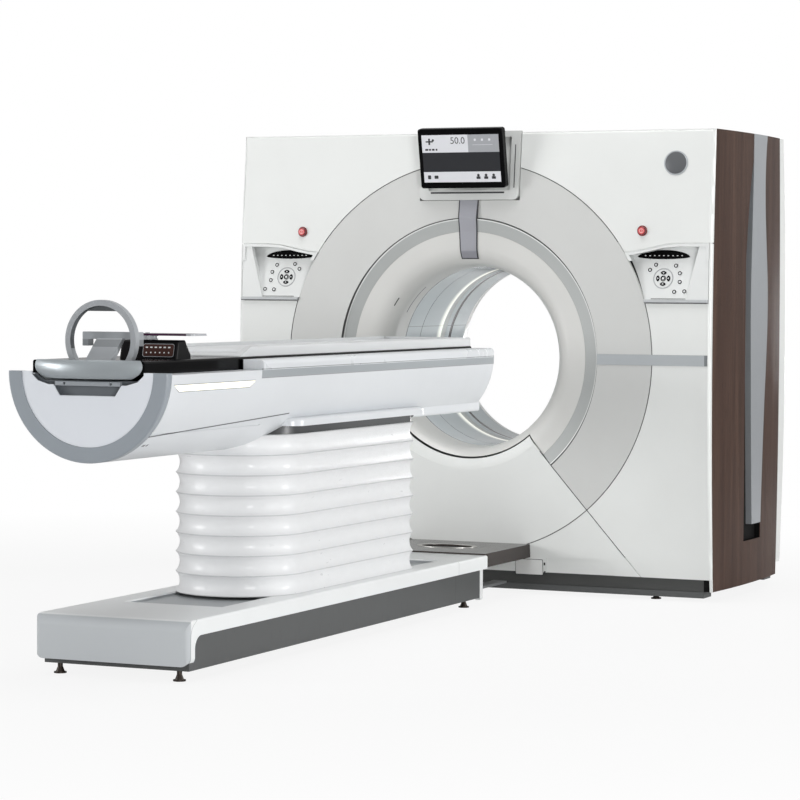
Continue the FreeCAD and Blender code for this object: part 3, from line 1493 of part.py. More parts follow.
def table_base_frame():
    """Grey steel pan on its feet, with the outer tubes of the lifting columns."""
    y0, y1 = front_y - base_foot_end + base_wall + pan_inset, front_y - base_skirt_gantry_end
    half, top = base_half_width - pan_inset, base_band_low - hair_gap
    pan = box(-half, half, y0, y1, base_skirt_low, top)
    pan = pan.cut(box(-half + pan_wall, half - pan_wall, y0 + pan_wall, y1 - pan_wall,
                      base_skirt_low + pan_floor, BIG))
    post = box(-half, half, y1 - PAST, y1 + pan_post_depth, base_skirt_low - pan_floor, top)
    post_room = half - pan_post_width
    post = post.cut(box(-post_room, post_room, y1 - 2 * PAST, BIG, 0, BIG))
    first, second = column_centres
    room = half - pan_wall + PAST
    ribs = [box(-room, room, y - rib_half, y + rib_half, base_skirt_low + pan_floor - PAST, recess_level)
            for y in (y0 + rib_spread, first - rib_spread, first + rib_spread, second - rib_spread,
                      second + rib_spread, y1 - rib_spread)]
    deck = deck_slab(deck_rim, recess_level - deck_sheet, base_top - base_wall - hair_gap)
    deck = deck.cut(deck_slab(deck_rim - deck_sheet, recess_level, base_top))
    for y in column_centres:
        deck = deck.cut(square(stage_size[0] / 2 + PAST, y, 0, BIG))
    tubes = column_tube(stage_size[0], base_skirt_low + pan_floor - PAST, column_high)
    return fuse([pan, post, deck] + ribs + tubes + pedal_pin())


def deck_slab(grow, z0, z1):
    """The space of the recess under the bellows, grown sideways, between two heights."""
    half = deck_half_width + grow
    return box(-half, half, front_y - deck_foot_end - grow, front_y - deck_gantry_end + grow, z0, z1)


def base_form(inset):
    """The base cover's outer form, shrunk by an amount, down to the floor."""
    half, top = cover_half_width - inset, base_top - inset
    y0, y1 = front_y - fascia_reach + inset, front_y - base_cover_gantry_end - inset

    def block(radius, chosen):
        return round_edges(box(-half, half, y0, y1, 0, top), radius - inset, chosen)

    def foot_top(p, d):
        return abs(d.x) > 0.9 and p.y < y0 + PAST and p.z > top - PAST
    shape = block(fascia_corner, lambda p, d: abs(d.z) > 0.9 and p.y < y0 + PAST)
    shape = shape.common(block(fascia_top_round, foot_top))
    return shape.common(block(base_edge_round, lambda p, d: abs(d.y) > 0.9 and p.z > top - PAST))


def table_base_cover():
    """White cover of the base: top, side band and the fascia that closes the foot end."""
    band_start = front_y - fascia_reach + fascia_length
    low = box(-cover_half_width, cover_half_width, -BIG, BIG, fascia_low, BIG)
    low = round_edges(low, fascia_low_round, lambda p, d: abs(d.y) > 0.9 and p.z < fascia_low + PAST)
    side_low = box(-BIG, BIG, band_start, BIG, 0, base_band_low)
    side_low = round_edges(side_low, fascia_round, lambda p, d: abs(d.x) > 0.9 and p.z > base_band_low - PAST
                           and p.y < band_start + PAST)
    shape = base_form(0).common(low).cut(base_form(base_wall))
    return shape.cut(side_low).cut(deck_slab(0, 0, BIG))


def bridge_plate():
    """The glossy plate that closes the gap between the base and the gantry, with a shallow oval recess."""
    y0 = front_y - base_cover_gantry_end + hair_gap
    block = box(-bridge_half_width, bridge_half_width, y0, front_y + margin, bridge_low, bridge_high)
    gantry = crowned_block(face_bulge, front_y, -bridge_gap, cover_bottom, gantry_top, BIG, BIG)
    recess = Part.Face(Part.Wire(Part.Ellipse(V(0, 0, 0), bridge_recess_x, bridge_recess_y).toShape()))
    recess.translate(V(0, front_y - bridge_recess_centre, bridge_high - bridge_recess_depth))
    return block.cut(gantry).cut(recess.extrude(V(0, 0, BIG)))


def pedal_pin():
    """The pin of the foot lever and the two ears that hold it, part of the base's frame."""
    reach = pedal_width / 2 + pedal_side_gap
    low, high = pedal_pin_height - pedal_ear_height, pedal_pin_height + pedal_ear_height
    y0, y1 = front_y - base_skirt_gantry_end - PAST, pedal_pin_y + pedal_ear_reach
    x0, x1 = pedal_x - reach, pedal_x + reach
    ears = [box(x, x + pedal_ear, y0, y1, low, high) for x in (x0 - pedal_ear, x1)]
    return ears + [rod_x(pedal_pin_radius, x0 - PAST, x1 + PAST, pedal_pin_y, pedal_pin_height)]


def foot_pedal():
    """Rocking foot lever under the bridge plate."""
    x0, x1 = pedal_x - pedal_width / 2, pedal_x + pedal_width / 2
    y, z, half = pedal_pin_y, pedal_pin_height, pedal_thickness / 2
    lever = box(x0, x1, y, y + pedal_length, z - half, z + half)
    boss = rod_x(pedal_boss_radius, x0, x1, y, z)
    return fuse([lever, boss]).cut(rod_x(pedal_pin_radius + pedal_clearance, x0 - PAST, x1 + PAST, y, z))


def build():
    pieces = [gantry_frame, levelling_feet, main_bearing, drive_stator, bore_liner, scan_window,
              front_funnel, rear_funnel, trim_rings, front_top_cover, front_ring_cover, front_side_covers,
              front_fan_cover, front_bottom_cover, rear_cover, gantry_top_cover, trim_strips, side_panels,
              side_blades, control_panels, display_housing, display, indicator_tongue, rotor_drum,
              xray_tube, detector_array, rotor_modules, slip_ring, table_base_frame, table_base_cover,
              bridge_plate, foot_pedal, bellows, lift_inner, table_shell, table_end_ring, table_end_cap,
              end_latch, table_side_rails, saddle_collar, cradle_drive, cradle_chassis, cradle_tray,
              cradle_mat, end_handle, end_hoop, console_pod, swivel_plate]
    for make in pieces:
        export(make.__name__, make())
    for number in (1, 2):
        export("lift_stage_" + str(number), lift_stage(number))
    stop = estop()
    export("estop_right", stop)
    export("estop_left", mirror_x(stop))
    for name in arrows:
        cap = arrow_cap(name)
        export("key_right_" + name, cap)
        export("key_left_" + name, mirror_x(cap))


build()
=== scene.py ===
"""Looks of the CT scanner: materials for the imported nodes, soft pieces, screen, keys, trim and studio."""
import math
import bmesh
import bpy
from mathutils import Matrix, Vector

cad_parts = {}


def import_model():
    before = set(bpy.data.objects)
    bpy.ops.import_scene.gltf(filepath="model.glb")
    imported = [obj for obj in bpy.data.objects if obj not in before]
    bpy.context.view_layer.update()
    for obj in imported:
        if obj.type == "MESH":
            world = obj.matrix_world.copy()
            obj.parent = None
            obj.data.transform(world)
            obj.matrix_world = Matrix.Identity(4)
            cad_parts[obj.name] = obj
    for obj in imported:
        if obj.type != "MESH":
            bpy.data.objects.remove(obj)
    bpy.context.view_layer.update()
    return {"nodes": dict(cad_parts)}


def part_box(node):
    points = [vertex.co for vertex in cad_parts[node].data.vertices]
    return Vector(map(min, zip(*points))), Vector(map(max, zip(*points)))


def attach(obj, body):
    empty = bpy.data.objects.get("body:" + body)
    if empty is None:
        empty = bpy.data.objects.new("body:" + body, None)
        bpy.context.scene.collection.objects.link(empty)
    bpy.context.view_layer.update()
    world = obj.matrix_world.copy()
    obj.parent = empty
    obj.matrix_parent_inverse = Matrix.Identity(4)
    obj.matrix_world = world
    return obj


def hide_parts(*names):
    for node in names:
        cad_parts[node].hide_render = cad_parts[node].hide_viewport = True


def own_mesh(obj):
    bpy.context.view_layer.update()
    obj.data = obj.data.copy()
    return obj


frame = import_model()
scene = bpy.context.scene

# ---- places on the CAD model, in metres ----------------------------------------------------------

FRONT = 1.151                                    # Y of the front covers' top edge; other places count from it
BULGE, TOP, BOTTOM = 0.056, 2.015, 0.096         # how far the front bulges, and its upper and lower edge
HALF_HIGH = (TOP - BOTTOM) / 2
MIDDLE = BOTTOM + HALF_HIGH
CROWN = HALF_HIGH ** 2 / (2 * BULGE) + BULGE / 2     # radius of the front's upright curve
BORE_Z = 1.032                                   # height of the bore's axis
SIDE_X, SIDE_HALF, SIDE_BULGE = 1.119, 0.497, 0.024  # side panels' edge, half length and bulge
AXIS_Z, BODY, BELLY = 1.054, 0.308, 0.3088       # table top's axis, its radius, and where the bellows end
CLUSTER_X, CLUSTER_Z = 0.897, 1.380              # middle key of a control panel
ESTOP_X, ESTOP_Z = 0.807, 1.583
HOOP_Y, HOOP_Z = FRONT - 3.208, 1.158
HUB_X, HUB_Y = 0.015, FRONT - 2.920              # hub of the side shelf
BODY_GANTRY, BODY_TABLE, BODY_CRADLE = "gantry_and_base", "table_top", "cradle"


def moved(x, y, z):
    return Matrix.Translation((x, y, z))


def turned(angle, axis):
    return Matrix.Rotation(angle, 4, axis)


def front_at(z):
    """Y of the crowned front at a height."""
    return FRONT - BULGE + CROWN - math.sqrt(CROWN ** 2 - (z - MIDDLE) ** 2)


def on_front(x, z):
    """A frame on the crowned front: local Z points out of it, and local Y up along it."""
    tilt = math.asin((z - MIDDLE) / CROWN)
    return moved(x, front_at(z), z) @ turned(math.pi / 2 - tilt, "X")


KEYS_LOW = (front_at(1.291) + 0.006, 1.291)      # Y and Z of the keyboard's lower and upper edge
KEYS_HIGH = (front_at(1.530) + 0.052, 1.516)
KEYS_TILT = math.atan2(KEYS_HIGH[0] - KEYS_LOW[0], KEYS_HIGH[1] - KEYS_LOW[1])


def on_keys(side, across, up):
    """A frame on a control panel's keyboard: local Z points out of it, and local Y up along it."""
    z = CLUSTER_Z + up
    share = (z - KEYS_LOW[1]) / (KEYS_HIGH[1] - KEYS_LOW[1])
    y = KEYS_LOW[0] + share * (KEYS_HIGH[0] - KEYS_LOW[0])
    return moved(side * (CLUSTER_X + across), y, z) @ turned(math.pi / 2 - KEYS_TILT, "X")


DISPLAY_Z, DISPLAY_TILT, DISPLAY_THICK = 1.776, math.radians(11), 0.034
DISPLAY = moved(0, front_at(DISPLAY_Z) - 0.040, DISPLAY_Z) @ turned(DISPLAY_TILT, "X")
DISPLAY_FACE = DISPLAY @ moved(0, -DISPLAY_THICK, 0) @ turned(math.pi / 2, "X")


# ---- materials -----------------------------------------------------------------------------------

SOFT = 0.0006          # width of a painted edge, in metres


def tone(red, green, blue):
    """A screen colour of 0 to 255 as the linear one that a shader takes."""
    return tuple(c / 3294.6 if c <= 10 else ((c / 255 + 0.055) / 1.055) ** 2.4 for c in (red, green, blue))


class Value:
    """A value in a node tree; arithmetic on it adds Math nodes."""

    def __init__(self, nodes, socket):
        self.nodes, self.socket = nodes, socket

    def __add__(self, other):
        return self.nodes.math("ADD", self, other)

    def __sub__(self, other):
        return self.nodes.math("SUBTRACT", self, other)

    def __rsub__(self, other):
        return self.nodes.math("SUBTRACT", other, self)

    def __mul__(self, other):
        return self.nodes.math("MULTIPLY", self, other)

    def __truediv__(self, other):
        return self.nodes.math("DIVIDE", self, other)

    def __abs__(self):
        return self.nodes.math("ABSOLUTE", self)

    def __pow__(self, other):
        return self.nodes.math("POWER", self, other)

    def __mod__(self, other):
        return self.nodes.math("FLOORED_MODULO", self, other)

    __radd__, __rmul__ = __add__, __mul__

    def root(self):
        return self.nodes.math("SQRT", self)

    def least(self, other):
        return self.nodes.math("MINIMUM", self, other)

    def most(self, other):
        return self.nodes.math("MAXIMUM", self, other)

    def above(self, edge, soft=SOFT):
        """0 below an edge and 1 above it, with a soft step."""
        return self.nodes.math("ADD", (self - edge) / soft, 0.5, clamp=True)

    def below(self, edge, soft=SOFT):
        """1 below an edge and 0 above it."""
        return self.nodes.math("ADD", (edge - self) / soft, 0.5, clamp=True)

    def within(self, low, high, soft=SOFT):
        return self.above(low, soft) * self.below(high, soft)

    def near(self, place, half=0.001, soft=SOFT):
        """1 on a thin line, 0 away from it; half is half the line's width."""
        return abs(self - place).below(half, soft)


class Nodes:
    """A node tree, with one way to add a node to it."""

    def __init__(self, owner):
        owner.use_nodes = True
        self.tree = owner.node_tree

    def node(self, kind, settings=None, sockets=None):
        """Adds a node: its settings first, then the value or link of each named or numbered socket."""
        node = self.tree.nodes.new(kind)
        for key, value in (settings or {}).items():
            setattr(node, key, value)
        for key, value in (sockets or {}).items():
            self.feed(node.inputs[key], value)
        return node

    def feed(self, socket, value):
        if isinstance(value, Value):
            self.tree.links.new(value.socket, socket)
        elif isinstance(value, tuple) and socket.type == "RGBA":
            socket.default_value = (*value, 1)
        else:
            socket.default_value = value

    def math(self, name, *values, clamp=False):
        settings = {"operation": name, "use_clamp": clamp}
        return Value(self, self.node("ShaderNodeMath", settings, dict(enumerate(values))).outputs[0])

    def seen_by(self, kind):
        """1 for rays of one kind, such as Camera or Glossy."""
        return Value(self, self.node("ShaderNodeLightPath").outputs["Is %s Ray" % kind])

    def clear(self):
        """1 for rays from the camera, also through glass."""
        return self.seen_by("Camera").most(self.seen_by("Transmission"))


class Paint(Nodes):
    """A material whose surface is worked out from the piece's own coordinates."""

    def __init__(self, name):
        self.material = bpy.data.materials.new(name)
        super().__init__(self.material)
        self.shader = self.tree.nodes["Principled BSDF"]
        self.place = Value(self, self.node("ShaderNodeTexCoord").outputs["Object"])
        parts = self.node("ShaderNodeSeparateXYZ", None, {0: self.place})
        self.x, self.y, self.z = [Value(self, out) for out in parts.outputs]

    def stretched(self, stretch):
        made = self.node("ShaderNodeVectorMath", {"operation": "MULTIPLY"}, {0: self.place, 1: stretch})
        return Value(self, made.outputs[0])

    def noise(self, scale, detail=2.0, stretch=(1, 1, 1), warp=0.0):
        sockets = {"Vector": self.stretched(stretch), "Scale": scale, "Detail": detail, "Distortion": warp}
        return Value(self, self.node("ShaderNodeTexNoise", None, sockets).outputs["Fac"])

    def mix(self, factor, first, second):
        sockets = {0: factor, 6: first, 7: second}
        return Value(self, self.node("ShaderNodeMix", {"data_type": "RGBA"}, sockets).outputs[2])

    def radius(self, x, z, across="x", up="z"):
        """Distance from a line through (x, z), along the third axis."""
        a, b = getattr(self, across) - x, getattr(self, up) - z
        return (a * a + b * b).root()

    def bump(self, height, distance):
        """Roughens the surface's shading; distance is the depth in metres."""
        made = self.node("ShaderNodeBump", None, {"Distance": distance, "Height": height})
        self.feed(self.shader.inputs["Normal"], Value(self, made.outputs[0]))

    def done(self, colour, rough, metal=0.0, coat=0.0, **fixed):
        """Feeds the shader; fixed names its other sockets, with _ for each space."""
        looks = {"Base_Color": colour, "Roughness": rough, "Metallic": metal, "Coat_Weight": coat, **fixed}
        for name, value in looks.items():
            self.feed(self.shader.inputs[name.replace("_", " ")], value)
        return self.material


def darker(colour, share):
    return tuple(c * share for c in colour)


def lacquer(name, colour, rough=0.34, coat=0.2, marks=None, wear=0.05, peel=0.00006):
    """Sprayed cover with faint clouding, orange peel and hairline scuffs; marks repaints places on it."""
    p = Paint(name)
    clouds = p.noise(2.6, 4.0)
    shade = darker(colour, 0.9)
    base = p.mix(clouds, colour, shade)
    speck = p.noise(700.0, 1.0)
    base = p.mix(speck.above(0.68, 0.1) * 0.12, base, shade)
    if marks:
        base = marks(p, base)
    scuffs = p.noise(55.0, 3.0, (1, 1, 0.25)).above(0.66, 0.12)
    p.bump(p.noise(420.0, 2.0) * 0.6 + speck * 0.4, peel)
    return p.done(base, scuffs * wear + rough + clouds * 0.05, 0.0, coat, Coat_Roughness=0.16)


def metal(name, colour, rough=0.3, grain=(1, 1, 1), metallic=0.85, coat=0.0, marks=None):
    """Brushed or satin metal, with its grain drawn out along one axis."""
    p = Paint(name)
    lines = p.noise(900.0, 3.0, grain)
    patches = p.noise(5.0, 3.0)
    base = p.mix(lines * 0.5 + patches * 0.4, colour, darker(colour, 0.8))
    if marks:
        base = marks(p, base)
    p.bump(lines, 0.00010)
    return p.done(base, lines * 0.12 + patches * 0.08 + rough - 0.08, metallic, coat)


def plastic(name, colour, rough=0.45, grain=1400.0, depth=0.00006, coat=0.0, marks=None, **fixed):
    """Moulded plastic with a fine spark-eroded grain."""
    p = Paint(name)
    fine, broad = p.noise(grain, 1.0), p.noise(12.0, 3.0)
    base = p.mix(broad * 0.6 + fine * 0.25, colour, darker(colour, 0.82))
    if marks:
        base = marks(p, base)
    p.bump(fine, depth)
    return p.done(base, broad * 0.12 + rough - 0.06, 0.0, coat, **fixed)


def gloss(name, colour, rough=0.08, **fixed):
    """Black piano lacquer or dark glass: nearly smooth, with faint dust and wipe marks."""
    p = Paint(name)
    wipes = p.noise(9.0, 4.0, (1, 0.3, 1), 1.5)
    dust = p.noise(1500.0, 1.0).above(0.74, 0.06)
    base = p.mix(dust * 0.3, colour, (0.06, 0.06, 0.06))
    return p.done(base, wipes * 0.10 + dust * 0.2 + rough - 0.03, Specular_IOR_Level=0.08, **fixed)


def glow(name, colour, strength, spread=0.1):
    """A lit surface, a little uneven."""
    p = Paint(name)
    vary = p.noise(30.0, 2.0) * spread
    shade = p.mix(vary, colour, darker(colour, 0.6))
    p.feed(p.shader.inputs["Emission Color"], shade)
    return p.done(shade, vary + 0.25, 0.0, 0.0, Emission_Strength=strength)


WHITE = tone(231, 233, 231)
SHELL = tone(225, 228, 231)
DARK = tone(38, 38, 40)
SEAM = tone(96, 98, 98)
BLACK = (0.003, 0.003, 0.003)


def wood():
    """Dark brown laminate with upright grain; the tall slot and the room behind the surface are painted black
    as shade.
    """
    p = Paint("side_laminate")
    broad = p.noise(14.0, 4.0, (1, 1, 0.05), 0.6)
    fine = p.noise(160.0, 3.0, (1, 1, 0.012))
    pores = p.noise(520.0, 2.0, (1, 1, 0.03))
    base = p.mix(broad.above(0.5, 0.5), tone(56, 38, 31), tone(92, 70, 59))
    base = p.mix(fine.above(0.5, 0.3) * 0.5, base, tone(46, 31, 25))
    pits = pores.above(0.62, 0.08)
    base = p.mix(pits * 0.6, base, tone(27, 20, 18))
    arc = SIDE_HALF ** 2 / (2 * SIDE_BULGE) + SIDE_BULGE / 2
    along = p.y - (FRONT + SIDE_HALF)
    surface = (arc ** 2 - along * along).root() + (SIDE_X + SIDE_BULGE - arc)
    # painted shade: surfaces more than 3 mm under the panel's face are painted black
    painted_slot_shade = (surface - abs(p.x)).above(0.003, 0.001)
    base = p.mix(painted_slot_shade, base, BLACK)
    p.bump(fine * 0.5 - pits * 0.5, 0.00025)
    return p.done(base, pores * 0.15 + painted_slot_shade * 0.3 + 0.3, Specular_IOR_Level=0.12)


def cover_seams_and_fascia_shade(p, base):
    """Thin seams of the base cover: the fascia's rear edge on the sides and the joint near the gantry; the
    fascia is also painted greyer as painted shade.
    """
    fascia, low, high, lean = FRONT - 3.131, 0.056, 0.212, 0.055
    rise = ((p.z - low) / (high - low)).most(0.0)
    side = (p.y - fascia - rise ** 8 * lean).near(0, 0.0012) * abs(p.x).above(0.285)
    cross = p.y.near(FRONT - 0.824, 0.0009)
    # painted shade: the fascia at the foot end is painted greyer
    base = p.mix(p.y.below(fascia + 0.003, 0.004) * 0.7, base, tone(164, 170, 175))
    return p.mix((side + cross).least(1.0) * 0.75, base, SEAM)


def funnel_marks(p, base):
    """Two short curved slots at the funnel's left, and the grey edge where it meets the liner."""
    turn = p.math("ARCTAN2", p.z - BORE_Z, p.x)
    long_slot = p.y.near(FRONT + 0.089, 0.0035) * turn.within(2.27, 2.64)
    short_slot = p.y.near(FRONT - 0.008, 0.0016) * turn.within(2.50, 2.60)
    edge = p.y.above(FRONT + 0.164)
    base = p.mix((long_slot + short_slot).least(1.0), base, tone(40, 42, 44))
    return p.mix(edge * 0.6, base, SEAM)


def liner():
    """Bluish-grey bore liner with its thin joints, a band of light painted on as a soft glow, and a thick dark
    ring near the rear.
    """
    p = Paint("bore_liner_sheet")
    base = p.mix(p.noise(3.0, 3.0), tone(206, 214, 217), tone(190, 201, 206))
    joints = 0
    for place, half in ((0.171, 0.003), (0.3295, 0.002), (0.614, 0.002)):
        joints = joints + p.y.near(FRONT + place, half)
    lengthwise = p.math("ARCTAN2", p.z - BORE_Z, p.x).near(2.82, 0.002, 0.001)
    base = p.mix((joints + lengthwise).least(1.0) * 0.85, base, tone(52, 58, 62))
    base = p.mix(p.y.near(FRONT + 0.672, 0.014), base, tone(10, 11, 13))
    # painted light: a soft glowing band on the liner
    lit = p.y.near(FRONT + 0.552, 0.016, 0.05)
    p.feed(p.shader.inputs["Emission Color"], p.mix(lit, (0, 0, 0), tone(255, 252, 236)))
    p.bump(p.noise(300.0, 2.0), 0.0001)
    return p.done(base, p.noise(20.0, 2.0) * 0.1 + 0.16, 0.0, 0.5, Emission_Strength=0.9)


def ring_marks(p, base):
    """The ring's dark outer line, and a painted highlight: a light line beside it."""
    painted_highlight_inner, painted_highlight_outer, line_inner, soft = 0.6015, 0.6062, 0.6068, 0.001
    out = p.radius(0, BORE_Z)
    base = p.mix(out.above(line_inner, soft), base, tone(60, 62, 62))
    # painted highlight along the ring's outer edge
    return p.mix(out.within(painted_highlight_inner, painted_highlight_outer, soft), base, tone(222, 224, 222))


def painted_seam_shade(p, base):
    """Painted shade: wherever the front covers sink more than 1.6 mm below their outer layer, in seams and
    steps, they are painted dark.
    """
    side, low, high, funnel_edge = 1.098, 0.178, 1.998, 0.53     # the covers' outer edges stay pale
    panel_side, panel_low, panel_high = 0.66, 1.285, 1.535       # and so do the control panels' hollows
    rise = p.z - MIDDLE
    sunk = p.y - (CROWN + FRONT - BULGE) + (CROWN ** 2 - rise * rise).root()
    inside = abs(p.x).below(side) * p.z.below(high) * p.z.above(low) * p.radius(0, BORE_Z).above(funnel_edge)
    inside = inside * (1 - p.z.within(panel_low, panel_high) * abs(p.x).above(panel_side))
    # painted shade in the seams and steps of the front covers
    return p.mix(sunk.above(0.0016, 0.001) * inside * 0.85, base, tone(46, 47, 46))


def panel_marks(p, base):
    """Control panels: silver lower lip, and a painted shadow, a fine dark line, under it."""
    lip = p.z.below(1.2905) * p.y.below(FRONT - 0.034)
    base = p.mix(lip, base, tone(186, 189, 191))
    # painted shadow under the lip
    return p.mix(p.z.below(1.2785) * 0.8, base, tone(80, 82, 83))


def collar_marks(p, base):
    """Painted shade: the collar's neck above the bellows, under its rim, is painted dark."""
    neck_top, neck_end = 0.8325, FRONT - 1.1
    return p.mix(p.z.below(neck_top) * p.y.below(neck_end), base, tone(52, 54, 56))


def cap_marks(p, base):
    """The end cap: the pocket behind the release bar is painted dark as shade."""
    face, pocket_low, pocket_half = FRONT - 3.3035, 0.9735, 0.2165
    pocket = p.y.above(face, 0.001) * p.z.above(pocket_low) * abs(p.x).below(pocket_half)
    # painted shade: the recessed pocket behind the release bar is darkened
    return p.mix(pocket, base, tone(96, 101, 106))


def strip_marks(p, base):
    """The silver strips' dark ends at the gantry's sides."""
    return p.mix(abs(p.x).above(1.094, 0.001) * 0.7, base, tone(92, 95, 97))


def tongue_marks(p, base):
    """The tongue's dark outline and its smoked end."""
    low, low_half, spread, line = 1.462, 0.040, 0.0233, 0.0045   # lower end, half its width, widening, outline
    half = (p.z - low) * spread + low_half
    rim = (half - abs(p.x)).below(line) + p.z.below(low + line)
    base = p.mix(p.z.below(1.497, 0.006) * 0.45, base, tone(112, 112, 120))
    return p.mix(rim.least(1.0), base, tone(44, 44, 48))


def shell_marks(p, base):
    """The table top's side: grey stripe under the deck, long seam, and two small slots near the foot end."""
    stripe_end, stripe_low = FRONT - 2.62, 1.021
    seam_end, seam_low, seam_slope = FRONT - 3.272, 0.8396, 0.0425
    behind = p.y.above(stripe_end)
    base = p.mix(p.z.above(stripe_low, 0.001) * behind * 0.9, base, tone(150, 156, 160))
    base = p.mix(p.z.near(stripe_low - 0.0015, 0.0012) * behind * 0.8, base, tone(84, 88, 90))
    seam_z = (p.y - seam_end) * seam_slope + seam_low
    seam = p.z.near(seam_z, 0.0022) * p.y.within(FRONT - 3.29, FRONT - 2.30)
    base = p.mix(seam * 0.95, base, tone(44, 46, 47))
    slots = p.y.within(FRONT - 3.262, FRONT - 3.242) + p.y.within(FRONT - 3.234, FRONT - 3.222)
    return p.mix(p.z.near(0.808, 0.0035) * slots * 0.9, base, DARK)


def hoop_marks(p, base):
    """The hoop's dark flat insert and the darker slanted plate."""
    insert_radius, insert_low, insert_face = 0.1172, 1.13, HOOP_Y + 0.0128
    out = p.radius(0, HOOP_Z)
    insert = out.below(insert_radius) * p.z.above(insert_low) * p.y.below(insert_face)
    base = p.mix(insert, base, tone(78, 82, 84))
    return p.mix(p.y.above(HOOP_Y + 0.02) * p.z.below(1.160, 0.002) * 0.7, base, tone(118, 122, 124))


def frame_marks(p, base):
    """The base frame: deck under the bellows painted pale, as painted light against the shade it lies in; white
    end flange at the gantry side; dark joint.
    """
    deck = p.z.above(0.185, 0.002) * p.z.below(0.215, 0.002)
    # painted light: the shaded deck is painted pale
    base = p.mix(deck, base, tone(168, 172, 175))
    base = p.mix(p.y.above(FRONT - 0.5645, 0.002) * p.z.above(0.02), base, tone(226, 228, 228))
    return p.mix(p.y.near(FRONT - 0.824, 0.0012) * 0.7, base, tone(30, 30, 31))


def plinth_marks(p, base):
    """The gantry frame's lowest edge is paler than the rest."""
    return p.mix(p.z.below(0.042, 0.001), base, tone(84, 86, 86))


def pod_marks(p, base):
    """The hub on the console is silver; the rest is black."""
    hub_radius, deck = 0.0356, 1.1562
    hub = p.radius(HUB_X, HUB_Y, "x", "y").below(hub_radius) * p.z.above(deck)
    return p.mix(hub, base, tone(178, 181, 184))


def rail_marks(p, base):
    """Side rails: white, painted black at the cradle's side as shade in the gap there, and a fine line low on
    the outside.
    """
    # painted shade: the rails are black in the gap beside the cradle
    base = p.mix(abs(p.x).below(0.2265, 0.001), base, tone(26, 27, 28))
    return p.mix(p.z.near(1.0505, 0.0012) * abs(p.x).above(0.30) * 0.8, base, tone(70, 73, 75))


def stop_red():
    """Emergency stop's head: red with a darker rim, and a pale ring and bar moulded on top."""
    p = Paint("stop_button")
    ring, top, pale = 0.0085, 0.0148, tone(246, 206, 202)        # the pale ring's and the flat top's radius
    across = abs(p.x) - ESTOP_X
    up = p.z - ESTOP_Z
    out = (across * across + up * up).root()
    base = p.mix(p.noise(60.0, 2.0), tone(216, 92, 94), tone(204, 78, 82))
    base = p.mix(out.above(top, 0.001), base, tone(120, 20, 26))
    base = p.mix(out.near(ring, 0.0013) * 0.8, base, pale)
    base = p.mix(abs(across).below(0.0011) * out.below(ring) * 0.7, base, pale)
    p.bump(p.noise(900.0, 1.0), 0.00005)
    return p.done(base, out * 4.0 + 0.22, 0.0, 0.3)


def slip_marks(p, base):
    """Copper tracks between dark insulation on the slip ring."""
    tracks_per_metre = 55.0
    return p.mix(((p.radius(0, BORE_Z) * tracks_per_metre) % 1.0).above(0.45, 0.05), base, tone(40, 38, 36))


def cloth(name, colour, low, pitch):
    """Coated fabric of the bellows: fine weave, soft creases, and a painted shade line along each pleat's
    crest.
    """
    p = Paint(name)
    weave = p.math("SINE", p.x * 2400.0 + p.y * 2400.0) * p.math("SINE", p.z * 2600.0)
    creases = p.noise(16.0, 4.0, (1, 1, 3.0), 0.6)
    phase = ((p.z - low) / pitch) % 1.0
    # painted shade: a grey line along each pleat's crest
    crest_shade = abs(phase - 0.5).above(0.475, 0.03)
    base = p.mix(creases * 0.15, colour, tone(196, 198, 200))
    base = p.mix(crest_shade * 0.35, base, tone(128, 131, 134))
    p.bump(weave * 0.25 + creases, 0.0006)
    return p.done(base, creases * 0.12 + 0.24, 0.0, 0.3, Coat_Roughness=0.12)


def vinyl(name, colour):
    """Upholstery vinyl: small leather-like grain with soft wear on its crown."""
    p = Paint(name)
    cells = p.node("ShaderNodeTexVoronoi", {"feature": "DISTANCE_TO_EDGE"}, {"Vector": p.place, "Scale": 420.0})
    grain = Value(p, cells.outputs["Distance"])
    wear = p.noise(5.0, 4.0)
    base = p.mix(wear, colour, darker(colour, 0.9))
    p.bump(grain.least(0.25) * 3.0 + wear * 0.3, 0.0004)
    return p.done(base, wear * 0.12 + 0.40, 0.0, 0.1, Sheen_Weight=0.2)


def swivel():
    """The side shelf: dark purple sheet with a silver tip."""
    p = Paint("shelf_sheet")
    base = p.mix(p.noise(8.0, 3.0), tone(66, 26, 58), tone(46, 20, 42))
    base = p.mix(p.x.above(0.196, 0.001), base, tone(176, 178, 182))
    p.bump(p.noise(900.0, 1.0), 0.00005)
    return p.done(base, p.noise(30.0, 2.0) * 0.1 + 0.2, 0.0, 0.1, Specular_IOR_Level=0.3)


cover = lacquer("cover_paint", WHITE)
front_cover = lacquer("front_cover_paint", WHITE, marks=painted_seam_shade)
# painted shade: the ring cover is the white cover paint made darker, standing in for the shade on it
ring_cover = lacquer("ring_cover_shaded_paint", tone(207, 208, 206), marks=painted_seam_shade)
funnel = lacquer("funnel_paint", tone(216, 216, 213), 0.3, marks=funnel_marks)
silver = metal("silver_satin", tone(186, 190, 194), 0.34, (1, 1, 0.02), 0.6)
steel = metal("machined_steel", tone(150, 152, 155), 0.3, (1, 0.05, 1))
aluminium = metal("cast_aluminium", tone(172, 174, 176), 0.42, (1, 1, 1), 0.8)
module = lacquer("module_enamel", tone(196, 200, 198), 0.45, 0.1)
black = gloss("black_gloss", tone(5, 5, 6), 0.14)
bezel = gloss("bezel_black", tone(4, 4, 5), 0.2)
key_black = gloss("key_cap_black", tone(24, 24, 26), 0.14)
seam_and_shade_dark = plastic("seam_and_shade_plastic", tone(52, 53, 54), 0.6)
key_white = plastic("key_mark_white", tone(226, 228, 228), 0.4)
panel_white = lacquer("panel_plastic", tone(228, 230, 229), 0.36, 0.15, panel_marks)

